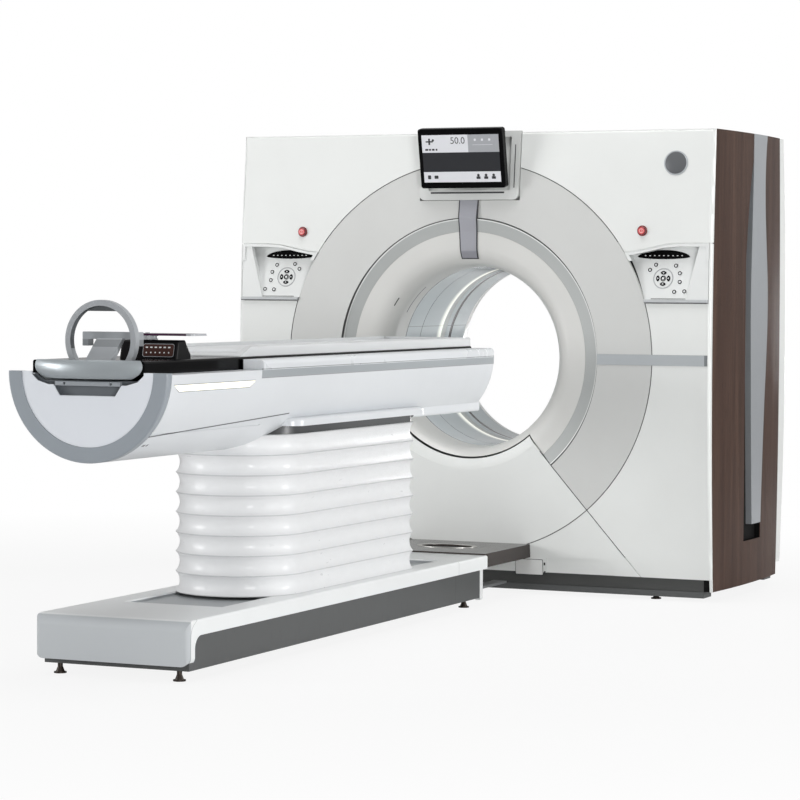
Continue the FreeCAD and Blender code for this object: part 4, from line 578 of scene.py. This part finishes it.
finishes = {
    "gantry_frame": lacquer("frame_paint", tone(66, 67, 66), 0.5, 0.1, plinth_marks),
    "levelling_feet": metal("foot_bronze", tone(58, 50, 44), 0.4, metallic=0.5),
    "main_bearing": steel,
    "drive_stator": metal("stator_iron", tone(96, 90, 84), 0.5),
    "rotor_drum": aluminium,
    "xray_tube": metal("tube_housing", tone(150, 156, 160), 0.38, metallic=0.6),
    "detector_array": plastic("detector_case", tone(52, 54, 58), 0.5),
    "rotor_modules": module,
    "slip_ring": metal("slip_ring_copper", tone(184, 120, 84), 0.3, marks=slip_marks),
    "bore_liner": liner(),
    "scan_window": plastic("window_film", tone(206, 210, 208), 0.25, 600.0, coat=0.4),
    "front_funnel": funnel,
    "rear_funnel": lacquer("rear_funnel_paint", tone(226, 227, 225), 0.3),
    "trim_rings": lacquer("ring_paint", tone(176, 179, 178), 0.3, 0.3, ring_marks),
    "front_top_cover": front_cover,
    "front_side_covers": front_cover,
    "front_fan_cover": front_cover,
    "front_bottom_cover": front_cover,
    "rear_cover": cover,
    "gantry_top_cover": cover,
    "front_ring_cover": ring_cover,
    "trim_strips": metal("strip_satin", tone(186, 191, 194), 0.36, (0.02, 1, 1), 0.25, 0.0, strip_marks),
    "side_panels": wood(),
    "side_blades": silver,
    "control_panels": panel_white,
    "estop_right": stop_red(),
    "display": bezel,
    "display_housing": lacquer("housing_paint", tone(212, 214, 212), 0.36, 0.2),
    "indicator_tongue": lacquer("tongue_face", tone(162, 163, 170), 0.26, 0.3, tongue_marks),
    "table_base_frame": lacquer("base_frame_paint", tone(78, 80, 80), 0.36, 0.15, frame_marks),
    # painted light: the base cover is painted paler than the other white covers, against the table's shade on
    # it
    "table_base_cover": lacquer("base_cover_lightened_paint", tone(243, 245, 245), 0.32, 0.3, cover_seams_and_fascia_shade),
    "bridge_plate": gloss("bridge_plate_gloss", tone(66, 61, 59), 0.12),
    "foot_pedal": metal("pedal_alloy", tone(176, 178, 180), 0.34, (1, 0.03, 1)),
    "lift_stage_1": steel,
    "lift_inner": steel,
    "table_shell": lacquer("table_shell_paint", SHELL, 0.3, 0.3, shell_marks, wear=0.02, peel=0.00002),
    "table_end_ring": lacquer("end_ring_paint", tone(150, 157, 164), 0.32, 0.25),
    "table_end_cap": lacquer("end_cap_paint", tone(228, 232, 238), 0.3, 0.3, cap_marks),
    "end_latch": lacquer("latch_bar_paint", tone(150, 155, 160), 0.4),
    "table_side_rails": lacquer("rail_paint", SHELL, 0.25, 0.4, rail_marks),
    "saddle_collar": lacquer("collar_paint", SHELL, 0.28, 0.35, collar_marks, wear=0.02, peel=0.00002),
    "cradle_drive": aluminium,
    "cradle_chassis": black,
    "cradle_tray": lacquer("tray_paint", tone(214, 216, 217), 0.3, 0.3),
    "end_handle": metal("handle_satin", tone(168, 175, 179), 0.34, (0.03, 1, 1), 0.35, 0.15),
    "end_hoop": metal("hoop_satin", tone(178, 182, 186), 0.3, (1, 1, 1), 0.4, 0.15, hoop_marks),
    "console_pod": plastic("console_black", tone(8, 7, 9), 0.3, marks=pod_marks, Specular_IOR_Level=0.12),
    "swivel_plate": swivel(),
}
finishes["estop_left"] = finishes["estop_right"]
finishes["lift_stage_2"] = finishes["lift_stage_1"]
for name, node in frame["nodes"].items():
    finish = finishes.get(name, key_black)
    node.data.materials.clear()
    node.data.materials.append(finish)


# ---- pieces --------------------------------------------------------------------------------------

def shown(name, mesh, body):
    piece = bpy.data.objects.new(name, mesh)
    scene.collection.objects.link(piece)
    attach(piece, body)
    return piece


class Shape:
    """A mesh put together from bmesh's own shapes, each with its place and its material's number."""

    def __init__(self, name, body, slot, *materials):
        self.name, self.body, self.slot, self.materials = name, body, slot, materials
        self.bm = bmesh.new()

    def take(self, verts, place, number):
        """Gives a new shape its material's number and puts it in its place."""
        for face in {f for v in verts for f in v.link_faces}:
            face.material_index = number
        bmesh.ops.transform(self.bm, matrix=place, verts=verts)

    def round_over(self, verts, width, chosen, segments=2):
        """Bevels the chosen edges of a shape and returns the vertices it has then."""
        edges = [e for e in {e for v in verts for e in v.link_edges} if chosen(e)]
        made = bmesh.ops.bevel(self.bm, geom=edges, offset=width, affect="EDGES",
                               segments=segments, profile=0.5, material=-1)
        return list({v for v in verts if v.is_valid} | set(made["verts"]))

    def block(self, size, place, number=0, corner=0.0, edge=0.0):
        """A box from its back face up: corner rounds its upright edges and edge the outer rim."""
        sx, sy, sz = size
        form = moved(0, 0, sz / 2) @ Matrix.Diagonal((sx, sy, sz, 1))
        verts = bmesh.ops.create_cube(self.bm, size=1.0, matrix=form)["verts"]
        if corner:
            verts = self.round_over(verts, corner, lambda e: abs(e.verts[0].co.z - e.verts[1].co.z) > sz / 2, 5)
        if edge:
            verts = self.round_over(verts, edge, lambda e: all(v.co.z > sz - 1e-6 for v in e.verts)
                                    and len({round(f.normal.z, 1) for f in e.link_faces}) > 1)
        self.take(verts, place, number)
        return self

    def puck(self, radius, height, place, number=0, edge=0.0, segments=48):
        """A round slab from its back face up."""
        verts = bmesh.ops.create_cone(self.bm, cap_ends=True, segments=segments, radius1=radius,
                                      radius2=radius, depth=height,
                                      matrix=moved(0, 0, height / 2))["verts"]
        self.bm.normal_update()
        if edge:
            verts = self.round_over(verts, edge, lambda e: all(v.co.z > height - 1e-6 for v in e.verts))
        self.take(verts, place, number)
        return self

    def band(self, inner, outer, height, place, number=0, segments=64, edge=0.0):
        """A flat ring from its back face up."""
        loops = [bmesh.ops.create_circle(self.bm, segments=segments, radius=r)["verts"] for r in (inner, outer)]
        edges = list({e for loop in loops for v in loop for e in v.link_edges})
        faces = bmesh.ops.bridge_loops(self.bm, edges=edges)["faces"]
        made = bmesh.ops.extrude_face_region(self.bm, geom=faces)["geom"]
        top = [g for g in made if isinstance(g, bmesh.types.BMVert)]
        bmesh.ops.translate(self.bm, vec=(0, 0, height), verts=top)
        verts = [v for loop in loops for v in loop] + top
        if edge:
            verts = self.round_over(verts, edge, lambda e: all(v.co.z > height - 1e-6 for v in e.verts)
                                    and any(abs(f.normal.z) < 0.5 for f in e.link_faces))
        self.take(verts, place, number)
        return self

    def done(self, angle=32.0):
        """Makes the piece, with its faces turned outward and edges sharper than an angle kept sharp."""
        bmesh.ops.recalc_face_normals(self.bm, faces=self.bm.faces)
        mesh = bpy.data.meshes.new(self.name)
        self.bm.to_mesh(mesh)
        self.bm.free()
        for material in self.materials:
            mesh.materials.append(material)
        mesh.shade_smooth()
        mesh.set_sharp_from_angle(angle=math.radians(angle))
        return shown(self.name, mesh, self.body)


def sheet_of(bm, across, along, mapped):
    """A grid whose points are moved to a surface given by two shares from 0 to 1."""
    verts = bmesh.ops.create_grid(bm, x_segments=across, y_segments=along, size=0.5)["verts"]
    for v in verts:
        v.co = Vector(mapped(v.co.x + 0.5, v.co.y + 0.5))
    return verts


# bellows: the CAD's outline and pleats, with soft creases
BELLOWS_LOW, BELLOWS_HIGH, PLEATS = 0.2125, 0.800, 8
PITCH = (BELLOWS_HIGH - BELLOWS_LOW) / PLEATS
PLEAT_DEPTH, CREASE, SKIN, MERGE = 0.0148, 0.0012, 0.003, 1e-4
COLUMNS, ROWS = 240, 12                          # faces round the bellows, and up one pleat
HALF, NOSE, CORNER = 0.248, 0.250, 0.045         # half width, length of the rounded end, rear corners' radius
NOSE_Y, END_Y = FRONT - 2.425 + NOSE, FRONT - 1.135
NOSE_STEPS, CORNER_STEPS = 96, 12


def outline():
    """Points and outward directions round the bellows, seen from above, and the length up to each."""
    path = []
    for k in range(NOSE_STEPS + 1):
        t = math.pi * k / NOSE_STEPS
        path.append(((-HALF * math.cos(t), NOSE_Y - NOSE * math.sin(t)),
                     (-math.cos(t) / HALF, -math.sin(t) / NOSE)))
    quarter = [math.pi / 2 * k / CORNER_STEPS for k in range(CORNER_STEPS + 1)]
    for side, turns in ((1, quarter), (-1, quarter[::-1])):
        for t in turns:
            path.append(((side * (HALF - CORNER + CORNER * math.cos(t)), END_Y - CORNER + CORNER * math.sin(t)),
                         (side * math.cos(t), math.sin(t))))
    path.append(path[0])
    marks = [0.0]
    for before, after in zip(path, path[1:]):
        marks.append(marks[-1] + math.dist(before[0], after[0]))
    return path, marks


PATH, MARKS = outline()


def bellows_point(share, rise):
    """The skin's surface at a share of the way round and of the way up, held below the table's belly."""
    at = share * MARKS[-1]
    k = next((i for i, mark in enumerate(MARKS) if mark > at), len(MARKS) - 1)
    part = (at - MARKS[k - 1]) / max(MARKS[k] - MARKS[k - 1], 1e-9)
    (a, na), (b, nb) = PATH[k - 1], PATH[k]
    point = Vector(a).lerp(Vector(b), part)
    outward = Vector(na).normalized().lerp(Vector(nb).normalized(), part).normalized()
    belly = AXIS_Z - math.sqrt(BELLY ** 2 - point.x ** 2)
    rise = min(rise, (belly - BELLOWS_LOW) / (BELLOWS_HIGH - BELLOWS_LOW))
    phase = (rise * PLEATS) % 1.0
    inset = PLEAT_DEPTH * (4 * phase * (1 - phase)) ** 0.8
    turn = share * 2 * math.pi                       # crossing waves keep the creases uneven
    fold = math.sin(turn * 23 + rise * 9) * math.sin(turn * 9 - rise * 31) * math.sin(math.pi * phase)
    point = point - outward * (inset + abs(CREASE * fold))
    return (point.x, point.y, BELLOWS_LOW + rise * (BELLOWS_HIGH - BELLOWS_LOW))


def bellows_part(name, body, fabric, first, last):
    """The bellows' skin between two of its pleats' crests."""
    s = Shape(name, body, "bellows_fabric", fabric)
    sheet_of(s.bm, COLUMNS, (last - first) * ROWS,
             lambda share, up: bellows_point(share, (first + up * (last - first)) / PLEATS))
    bmesh.ops.remove_doubles(s.bm, verts=s.bm.verts, dist=MERGE)
    bmesh.ops.dissolve_degenerate(s.bm, edges=s.bm.edges, dist=MERGE)
    bmesh.ops.recalc_face_normals(s.bm, faces=s.bm.faces)
    bmesh.ops.solidify(s.bm, geom=list(s.bm.faces), thickness=SKIN)
    piece = s.done(50.0)
    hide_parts("bellows")
    return piece


def bellows():
    """Seven pleats stay with the gantry and base; the eighth rides on the table top."""
    fabric = cloth("bellows_cloth", tone(236, 237, 238), BELLOWS_LOW, PITCH)
    skin = bellows_part("bellows_skin", BODY_GANTRY, fabric, 0, PLEATS - 1)
    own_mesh(skin)
    bellows_part("bellows_top_pleat", BODY_TABLE, fabric, PLEATS - 1, PLEATS)


def mat():
    """The cradle's pad: a thin foam mat in vinyl, crowned between its sewn edges, with two cross seams."""
    low, high = (Vector(c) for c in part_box("cradle_mat"))
    size, centre = high - low, (low + high) / 2
    cross_seams, side_seam = (0.27, 0.62), 0.93     # as shares of the length, and of half the width
    cross_width, side_width = 0.007, 0.004
    cross_depth, side_depth, crowned, uneven, least = 0.22, 0.14, 0.20, 0.012, 0.02   # as shares of the height

    def top(u, v):
        x, y = u * 2 - 1, v * 2 - 1
        round_x = (1 - abs(x) ** 14) ** 0.5
        round_y = (1 - abs(y) ** 70) ** 0.5
        crown = 1 - crowned * x * x
        dip = max(math.exp(-((v - seam) * size.y / cross_width) ** 2) for seam in cross_seams)
        stitch = math.exp(-((abs(x) - side_seam) * size.x / 2 / side_width) ** 2)
        wave = uneven * math.sin(v * 61 + x * 2) * math.sin(v * 23)
        lift = round_x * round_y * (crown + wave) - cross_depth * dip * round_x - side_depth * stitch * round_y
        return (centre.x + x * size.x / 2, centre.y + y * size.y / 2, low.z + size.z * max(lift, least))

    s = Shape("cradle_pad", BODY_CRADLE, "mat_fabric", vinyl("pad_vinyl", tone(224, 226, 228)))
    sheet_of(s.bm, 96, 420, top)
    rim = [e for e in s.bm.edges if e.is_boundary]
    made = bmesh.ops.extrude_edge_only(s.bm, edges=rim)["geom"]
    for v in [g for g in made if isinstance(g, bmesh.types.BMVert)]:
        v.co.z = low.z
    bmesh.ops.holes_fill(s.bm, edges=[e for e in s.bm.edges if e.is_boundary], sides=0)
    piece = s.done(60.0)
    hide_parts("cradle_mat")


def screen():
    """The monitor's picture: pale bands with plain signs, and a dark middle band."""
    pale = glow("screen_pale", tone(198, 199, 203), 0.28)
    mid = glow("screen_mid", tone(150, 152, 156), 0.2)
    dark = gloss("screen_dark", tone(52, 53, 56), 0.1)
    ink = plastic("screen_ink", tone(40, 41, 44), 0.4)
    s = Shape("screen_face", BODY_GANTRY, "display_black", pale, mid, dark, ink)

    def at(x, z, lift=0.0):
        return DISPLAY_FACE @ moved(x, z, 0.0002 + lift)

    width, under, over = 0.363, 0.0006, 0.0009      # the screen's width, and the bands' back and face
    s.block((width, 0.208, under), at(0, 0.131), 2)
    for wide, high, x, z, number in ((0.218, 0.077, -0.0725, 0.1965, 0), (0.145, 0.077, 0.109, 0.1965, 1),
                                     (width, 0.046, 0, 0.050, 0)):
        s.block((wide, high, over - under), at(x, z, under), number)

    thin = 0.0002
    for wide, high in ((0.034, 0.006), (0.008, 0.028)):
        s.block((wide, high, thin), at(-0.146, 0.206, over), 3)
    s.puck(0.0055, thin, at(-0.128, 0.212, over), 3, segments=16)
    for k, wide in enumerate((0.014, 0.009, 0.012, 0.008)):
        s.block((wide, 0.008, thin), at(-0.160 + k * 0.0155, 0.171, over), 3)
    for k, (wide, high) in enumerate(((0.015, 0.017), (0.019, 0.014))):
        s.block((wide, high, thin), at(-0.156 + k * 0.033, 0.050, over), 3, corner=0.003)
    for k in range(3):
        s.block((0.019, 0.011, thin), at(0.076 + k * 0.036, 0.046, over), 3, corner=0.002)
        s.puck(0.0062, thin, at(0.076 + k * 0.036, 0.057, over), 3, segments=16)
    for k in range(3):
        s.block((0.010, 0.010, thin), at(0.070 + k * 0.034, 0.212, over), 0, corner=0.003)
    s.block((0.095, 0.0015, thin), at(0.105, 0.190, over), 0)
    s.done()

    text = bpy.data.curves.new("reading", "FONT")
    text.body, text.size, text.extrude = "50.0", 0.041, 0.0001
    text.align_x = "CENTER"
    holder = bpy.data.objects.new("reading_form", text)
    scene.collection.objects.link(holder)
    mesh = bpy.data.meshes.new_from_object(holder.evaluated_get(bpy.context.evaluated_depsgraph_get()))
    bpy.data.objects.remove(holder)
    mesh.transform(at(-0.012, 0.196, over))
    mesh.materials.clear()
    mesh.materials.append(ink)
    shown("screen_reading", mesh, BODY_GANTRY)


def display_trim():
    """Dark strips painted in as shade: in the gap under the monitor's lower edge and in the groove on the
    housing's right.
    """
    s = Shape("housing_shade_strips", BODY_GANTRY, "cover_white", seam_and_shade_dark)
    face, deep = moved(0, 0, 0.0122), 0.0006
    # painted shade: thin dark strips in the gap and the groove
    s.block((0.004, 0.190, deep), on_front(0.2135, 1.865) @ face, 0, corner=0.0015)
    s.block((0.350, 0.0075, deep), on_front(-0.006, 1.751) @ face, 0, corner=0.003)
    s.done()


# a control panel's small keys, and its arrow keys with their arrows' turns; places in mm from the middle key
SMALL_KEYS = ((-37, 58), (-62, 36), (53, 54), (73, 22), (76, -15), (55, -57), (100, -55))
ARROWS = {"up": (0, 24, 0), "down": (0, -24, 180), "in": (-24, 0, 90), "out": (24, 0, -90)}


def key_field(side, word):
    """Caps, rings and backing of one control panel's fixed keys, and the black strip under its brow."""
    halo = lacquer("key_halo_" + word, tone(240, 241, 241), 0.3, 0.2)
    grey = plastic("key_backing_" + word, tone(176, 178, 180), 0.35, coat=0.3)
    s = Shape("key_caps_" + word, BODY_GANTRY, "key_black", key_black, key_white, halo, grey, seam_and_shade_dark)
    lift = moved(0, 0, 0.0029)                      # the caps' height over the keyboard
    for across, up in SMALL_KEYS:                   # a ring on the keyboard, then the cap's rim and its face
        place = on_keys(side, across / 1000, up / 1000)
        s.band(0.0092, 0.0125, 0.0008, place, 2, 40, 0.0003)
        s.band(0.0052, 0.0090, 0.0008, place @ lift, 0, 40, 0.0003)
        s.puck(0.0050, 0.0007, place @ lift, 1, 0.0003, 32)
    centre = on_keys(side, 0, 0)
    s.band(0.0100, 0.0125, 0.0006, centre, 0, 40)
    s.band(0.0056, 0.0090, 0.0008, centre @ lift, 0, 40, 0.0003)
    s.puck(0.0054, 0.0007, centre @ lift, 1, 0.0003, 32)
    s.band(0.0405, 0.0450, 0.0016, centre, 3, 72, 0.0006)
    for across in (-0.066, 0.008):
        s.block((0.0018, 0.030, 0.0006), on_keys(side, across, 0.094), 3)
    s.done()
    strip = Shape("key_strip_" + word, BODY_GANTRY, "key_black", black, key_white)
    verts = bmesh.ops.create_circle(strip.bm, cap_ends=True, segments=64, radius=1.0)["verts"]
    half_width, upper, lower, thick = 0.117, 0.030, 0.010, 0.0016
    for v in verts:
        rise = upper if v.co.y > 0 else lower
        v.co = Vector((v.co.x * half_width, v.co.y * rise * abs(v.co.y) ** 0.15, 0))
    made = bmesh.ops.extrude_face_region(strip.bm, geom=list(strip.bm.faces))["geom"]
    lifted = [g for g in made if isinstance(g, bmesh.types.BMVert)]
    bmesh.ops.translate(strip.bm, vec=(0, 0, thick), verts=lifted)
    strip.take(list(strip.bm.verts), on_keys(side, -0.006, 0.092), 0)
    for k in range(9):
        place = on_keys(side, -0.088 + k * 0.0205, 0.097) @ moved(0, 0, thick)
        strip.block((0.0065, 0.0035, 0.0003), place, 1)
    strip.done()
    lip = Shape("panel_lip_line_" + word, BODY_GANTRY, "panel_plastic", seam_and_shade_dark)
    lip.block((0.175, 0.0022, 0.0010), on_keys(side, 0.040, -0.0865), 0)
    lip.done()


def arrow_marks():
    """A small raised white arrow on each arrow key."""
    for side, word in ((1, "right"), (-1, "left")):
        for name, (across, up, turn) in ARROWS.items():
            s = Shape("arrow_%s_%s" % (word, name), "key_%s_%s" % (word, name), "key_black", key_white)
            place = on_keys(side, across / 1000, up / 1000) @ turned(math.radians(side * turn), "Z")
            on_cap = moved(0, -0.0005, 0.0032) @ turned(math.pi, "Z")
            verts = bmesh.ops.create_cone(s.bm, cap_ends=True, segments=3, radius1=0.0052, radius2=0.0047,
                                          depth=0.0006, matrix=on_cap)["verts"]
            s.take(verts, place, 0)
            s.done()


def stop_rims():
    """Dark red rims round the emergency stops."""
    rim_red = plastic("stop_rim_red", tone(132, 26, 32), 0.35, coat=0.2)
    s = Shape("stop_rims", BODY_GANTRY, "stop_red", rim_red)
    for x in (-ESTOP_X, ESTOP_X):
        place = moved(x, front_at(ESTOP_Z) - 0.0028, ESTOP_Z) @ turned(math.pi / 2, "X")
        s.band(0.0180, 0.0226, 0.0022, place, 0, 64, 0.0008)
    s.done()


def badge():
    """The plain round plate at the gantry's top right: a dark disc in a silver rim."""
    dark = plastic("plate_dark", tone(92, 94, 97), 0.3, coat=0.5)
    s = Shape("round_plate", BODY_GANTRY, "silver_strip", dark, silver)
    place = on_front(0.947, 1.871)
    s.puck(0.0475, 0.0022, place, 0, 0.0006, 96)
    s.band(0.0470, 0.0530, 0.0036, place, 1, 96, 0.0012)
    s.done()


def strip_lights():
    """Long white lamps in the table top's sides near the foot end, in thin grey frames."""
    lamp = glow("lamp_white", tone(255, 249, 232), 0.7, 0.03)
    frame_grey = plastic("lamp_frame", tone(150, 154, 158), 0.4)
    low, high, slant = 0.9905, 0.0215, 0.040        # lower edge, height, and how far the ends lean
    first, last = FRONT - 3.258, FRONT - 2.668
    s = Shape("side_lamps", BODY_TABLE, "table_white", lamp, frame_grey)
    for side in (-1, 1):
        for number, grow, lift in ((1, 0.0025, 0.0004), (0, 0.0, 0.0009)):
            def lamp_point(u, v, side=side, grow=grow, lift=lift):
                z = low - grow + v * (high + 2 * grow)
                end = (1 - v) * slant
                y0, y1 = first - grow + end, last + grow - end
                reach = BODY + lift
                return (side * math.sqrt(reach ** 2 - (z - AXIS_Z) ** 2), y0 + u * (y1 - y0), z)
            verts = sheet_of(s.bm, 60, 6, lamp_point)
            s.take(verts, Matrix.Identity(4), number)
    s.done()


def floor_details():
    """The flap near the floor, with its hinge marks, and the bridge plate's oval ring."""
    pale = lacquer("flap_paint", tone(226, 227, 225), 0.36)
    s = Shape("service_flap", BODY_GANTRY, "cover_white", pale, seam_and_shade_dark)
    place = on_front(0.283, 0.118)
    s.block((0.130, 0.070, 0.0012), place, 1, corner=0.004)
    s.block((0.126, 0.066, 0.0030), place, 0, corner=0.004, edge=0.0008)
    for z in (0.096, 0.134):
        s.block((0.006, 0.012, 0.0040), on_front(0.356, z), 1, corner=0.0012)
    s.done()
    rim = metal("oval_rim", tone(196, 194, 190), 0.3, metallic=0.7)
    well = plastic("oval_floor", tone(34, 32, 32), 0.5)
    ring = Shape("bridge_oval", BODY_GANTRY, "bridge_gloss", rim, well)
    oval = moved(0, FRONT - 0.255, 0.210) @ Matrix.Diagonal((1.15, 0.70, 1, 1))
    ring.band(0.1005, 0.1190, 0.0015, moved(0, 0, 0.008) @ oval, 0, 96)
    ring.puck(0.0985, 0.0010, oval, 1, segments=96)
    ring.done()


def console_details():
    """Tinted glass on the console's slanted foot-end face, in a thin pale frame, with its marks."""
    glass = gloss("console_glass", tone(64, 44, 40), 0.06)
    s = Shape("console_glass_face", BODY_CRADLE, "pod_black", glass, key_white, silver)
    lean = math.atan2(0.014, 0.0584)                # of the console's foot-end face
    foot_y, foot_z = FRONT - 2.990, 1.0920          # that face's lower edge

    def at(x, z, lift=0.0):
        y = foot_y + (z - foot_z) * math.tan(lean)
        return moved(x, y, z) @ turned(math.pi / 2 - lean, "X") @ moved(0, 0, lift)

    s.block((0.122, 0.046, 0.0005), at(0.092, 1.121), 2, corner=0.008)
    s.block((0.119, 0.043, 0.0011), at(0.092, 1.121), 0, corner=0.007, edge=0.0003)
    for k in range(6):
        across, face = 0.046 + k * 0.0175, 0.0011
        s.block((0.009, 0.0045, 0.0002), at(across, 1.131, face), 1, corner=0.001)
        s.puck(0.0026, 0.0002, at(across, 1.113, face), 1, segments=20)
    s.done()


bellows()
mat()
screen()
display_trim()
key_field(1, "right")
key_field(-1, "left")
arrow_marks()
stop_rims()
badge()
strip_lights()
floor_details()
console_details()


# ---- studio --------------------------------------------------------------------------------------

def world():
    """Soft surrounding light; the camera sees plain white, and reflections a paler grey."""
    made = bpy.data.worlds.new("studio")
    scene.world = made
    n = Nodes(made)
    back = n.tree.nodes["Background"]
    light, reflected = 0.2, 0.35
    strength = n.clear() * (1 - light) + n.seen_by("Glossy") * reflected + light
    n.feed(back.inputs["Color"], (1, 1, 1))
    n.feed(back.inputs["Strength"], strength.least(1.0))


def floor():
    """A wide pale floor that keeps the object's shadow and is seen as white away from it."""
    made = bpy.data.materials.new("studio_floor")
    n = Nodes(made)
    diffuse = n.tree.nodes["Principled BSDF"]
    n.feed(diffuse.inputs["Base Color"], (0.66, 0.66, 0.66))
    n.feed(diffuse.inputs["Roughness"], 0.9)
    light = n.node("ShaderNodeEmission", None, {"Color": (1, 1, 1)})
    place = Value(n, n.node("ShaderNodeTexCoord").outputs["Object"])
    away = Value(n, n.node("ShaderNodeVectorMath", {"operation": "LENGTH"}, {0: place}).outputs["Value"])
    near, fade, lit = 2.4, 3.1, 0.88                # from near on, the floor fades to white over this length
    share = n.math("DIVIDE", away - near, fade, clamp=True) * (1 - lit) + lit
    shaders = {0: share * n.clear(), 1: Value(n, diffuse.outputs[0]), 2: Value(n, light.outputs[0])}
    mixed = n.node("ShaderNodeMixShader", None, shaders)
    n.feed(n.tree.nodes["Material Output"].inputs["Surface"], Value(n, mixed.outputs[0]))
    bm = bmesh.new()
    bmesh.ops.create_grid(bm, x_segments=1, y_segments=1, size=60)
    mesh = bpy.data.meshes.new("studio_floor")
    bm.to_mesh(mesh)
    bm.free()
    mesh.materials.append(made)
    plane = bpy.data.objects.new("studio_floor", mesh)
    scene.collection.objects.link(plane)


def lamp(name, place, aim, size, power):
    """A round soft lamp at a place, turned to a point."""
    data = bpy.data.lights.new(name, "AREA")
    data.shape, data.size, data.energy = "DISK", size, power
    holder = bpy.data.objects.new(name, data)
    holder.location = place
    holder.rotation_euler = (Vector(aim) - Vector(place)).to_track_quat("-Z", "Y").to_euler()
    scene.collection.objects.link(holder)


def camera():
    """The photograph's camera, as fitted to the object's straight edges."""
    data = bpy.data.cameras.new("photo_camera")
    data.lens, data.sensor_width, data.sensor_fit = 129.03, 36.0, "HORIZONTAL"    # both in millimetres
    data.clip_end = 200.0
    holder = bpy.data.objects.new("photo_camera", data)
    right, up, ahead = (Vector(v) for v in ((0.91130, 0.41170, 0.00485), (-0.02139, 0.03559, 0.99914),
                                            (-0.41118, 0.91062, -0.04124)))
    turn = Matrix((right, up, -ahead)).transposed().to_4x4()
    holder.matrix_world = moved(4.9097, -10.4801, 1.3612) @ turn
    scene.collection.objects.link(holder)
    scene.camera = holder


world()
floor()
# name, place, the point it is turned to, diameter in metres and power in watts
lamp("left", (-8.5, -6.5, 2.2), (0, 0, 0.9), 4.0, 440)
lamp("right", (8.0, 2.4, 1.8), (0, -0.4, 0.8), 3.0, 310)
lamp("front_right", (6.0, -7.5, 0.9), (0.6, 1.0, 0.7), 2.5, 370)
lamp("top", (0.0, -1.0, 6.0), (0, -0.5, 0.5), 4.0, 160)
lamp("rear", (0.3, 7.5, 1.1), (-0.4, 1.5, 1.05), 1.4, 150)
camera()
scene.view_settings.view_transform = "Standard"
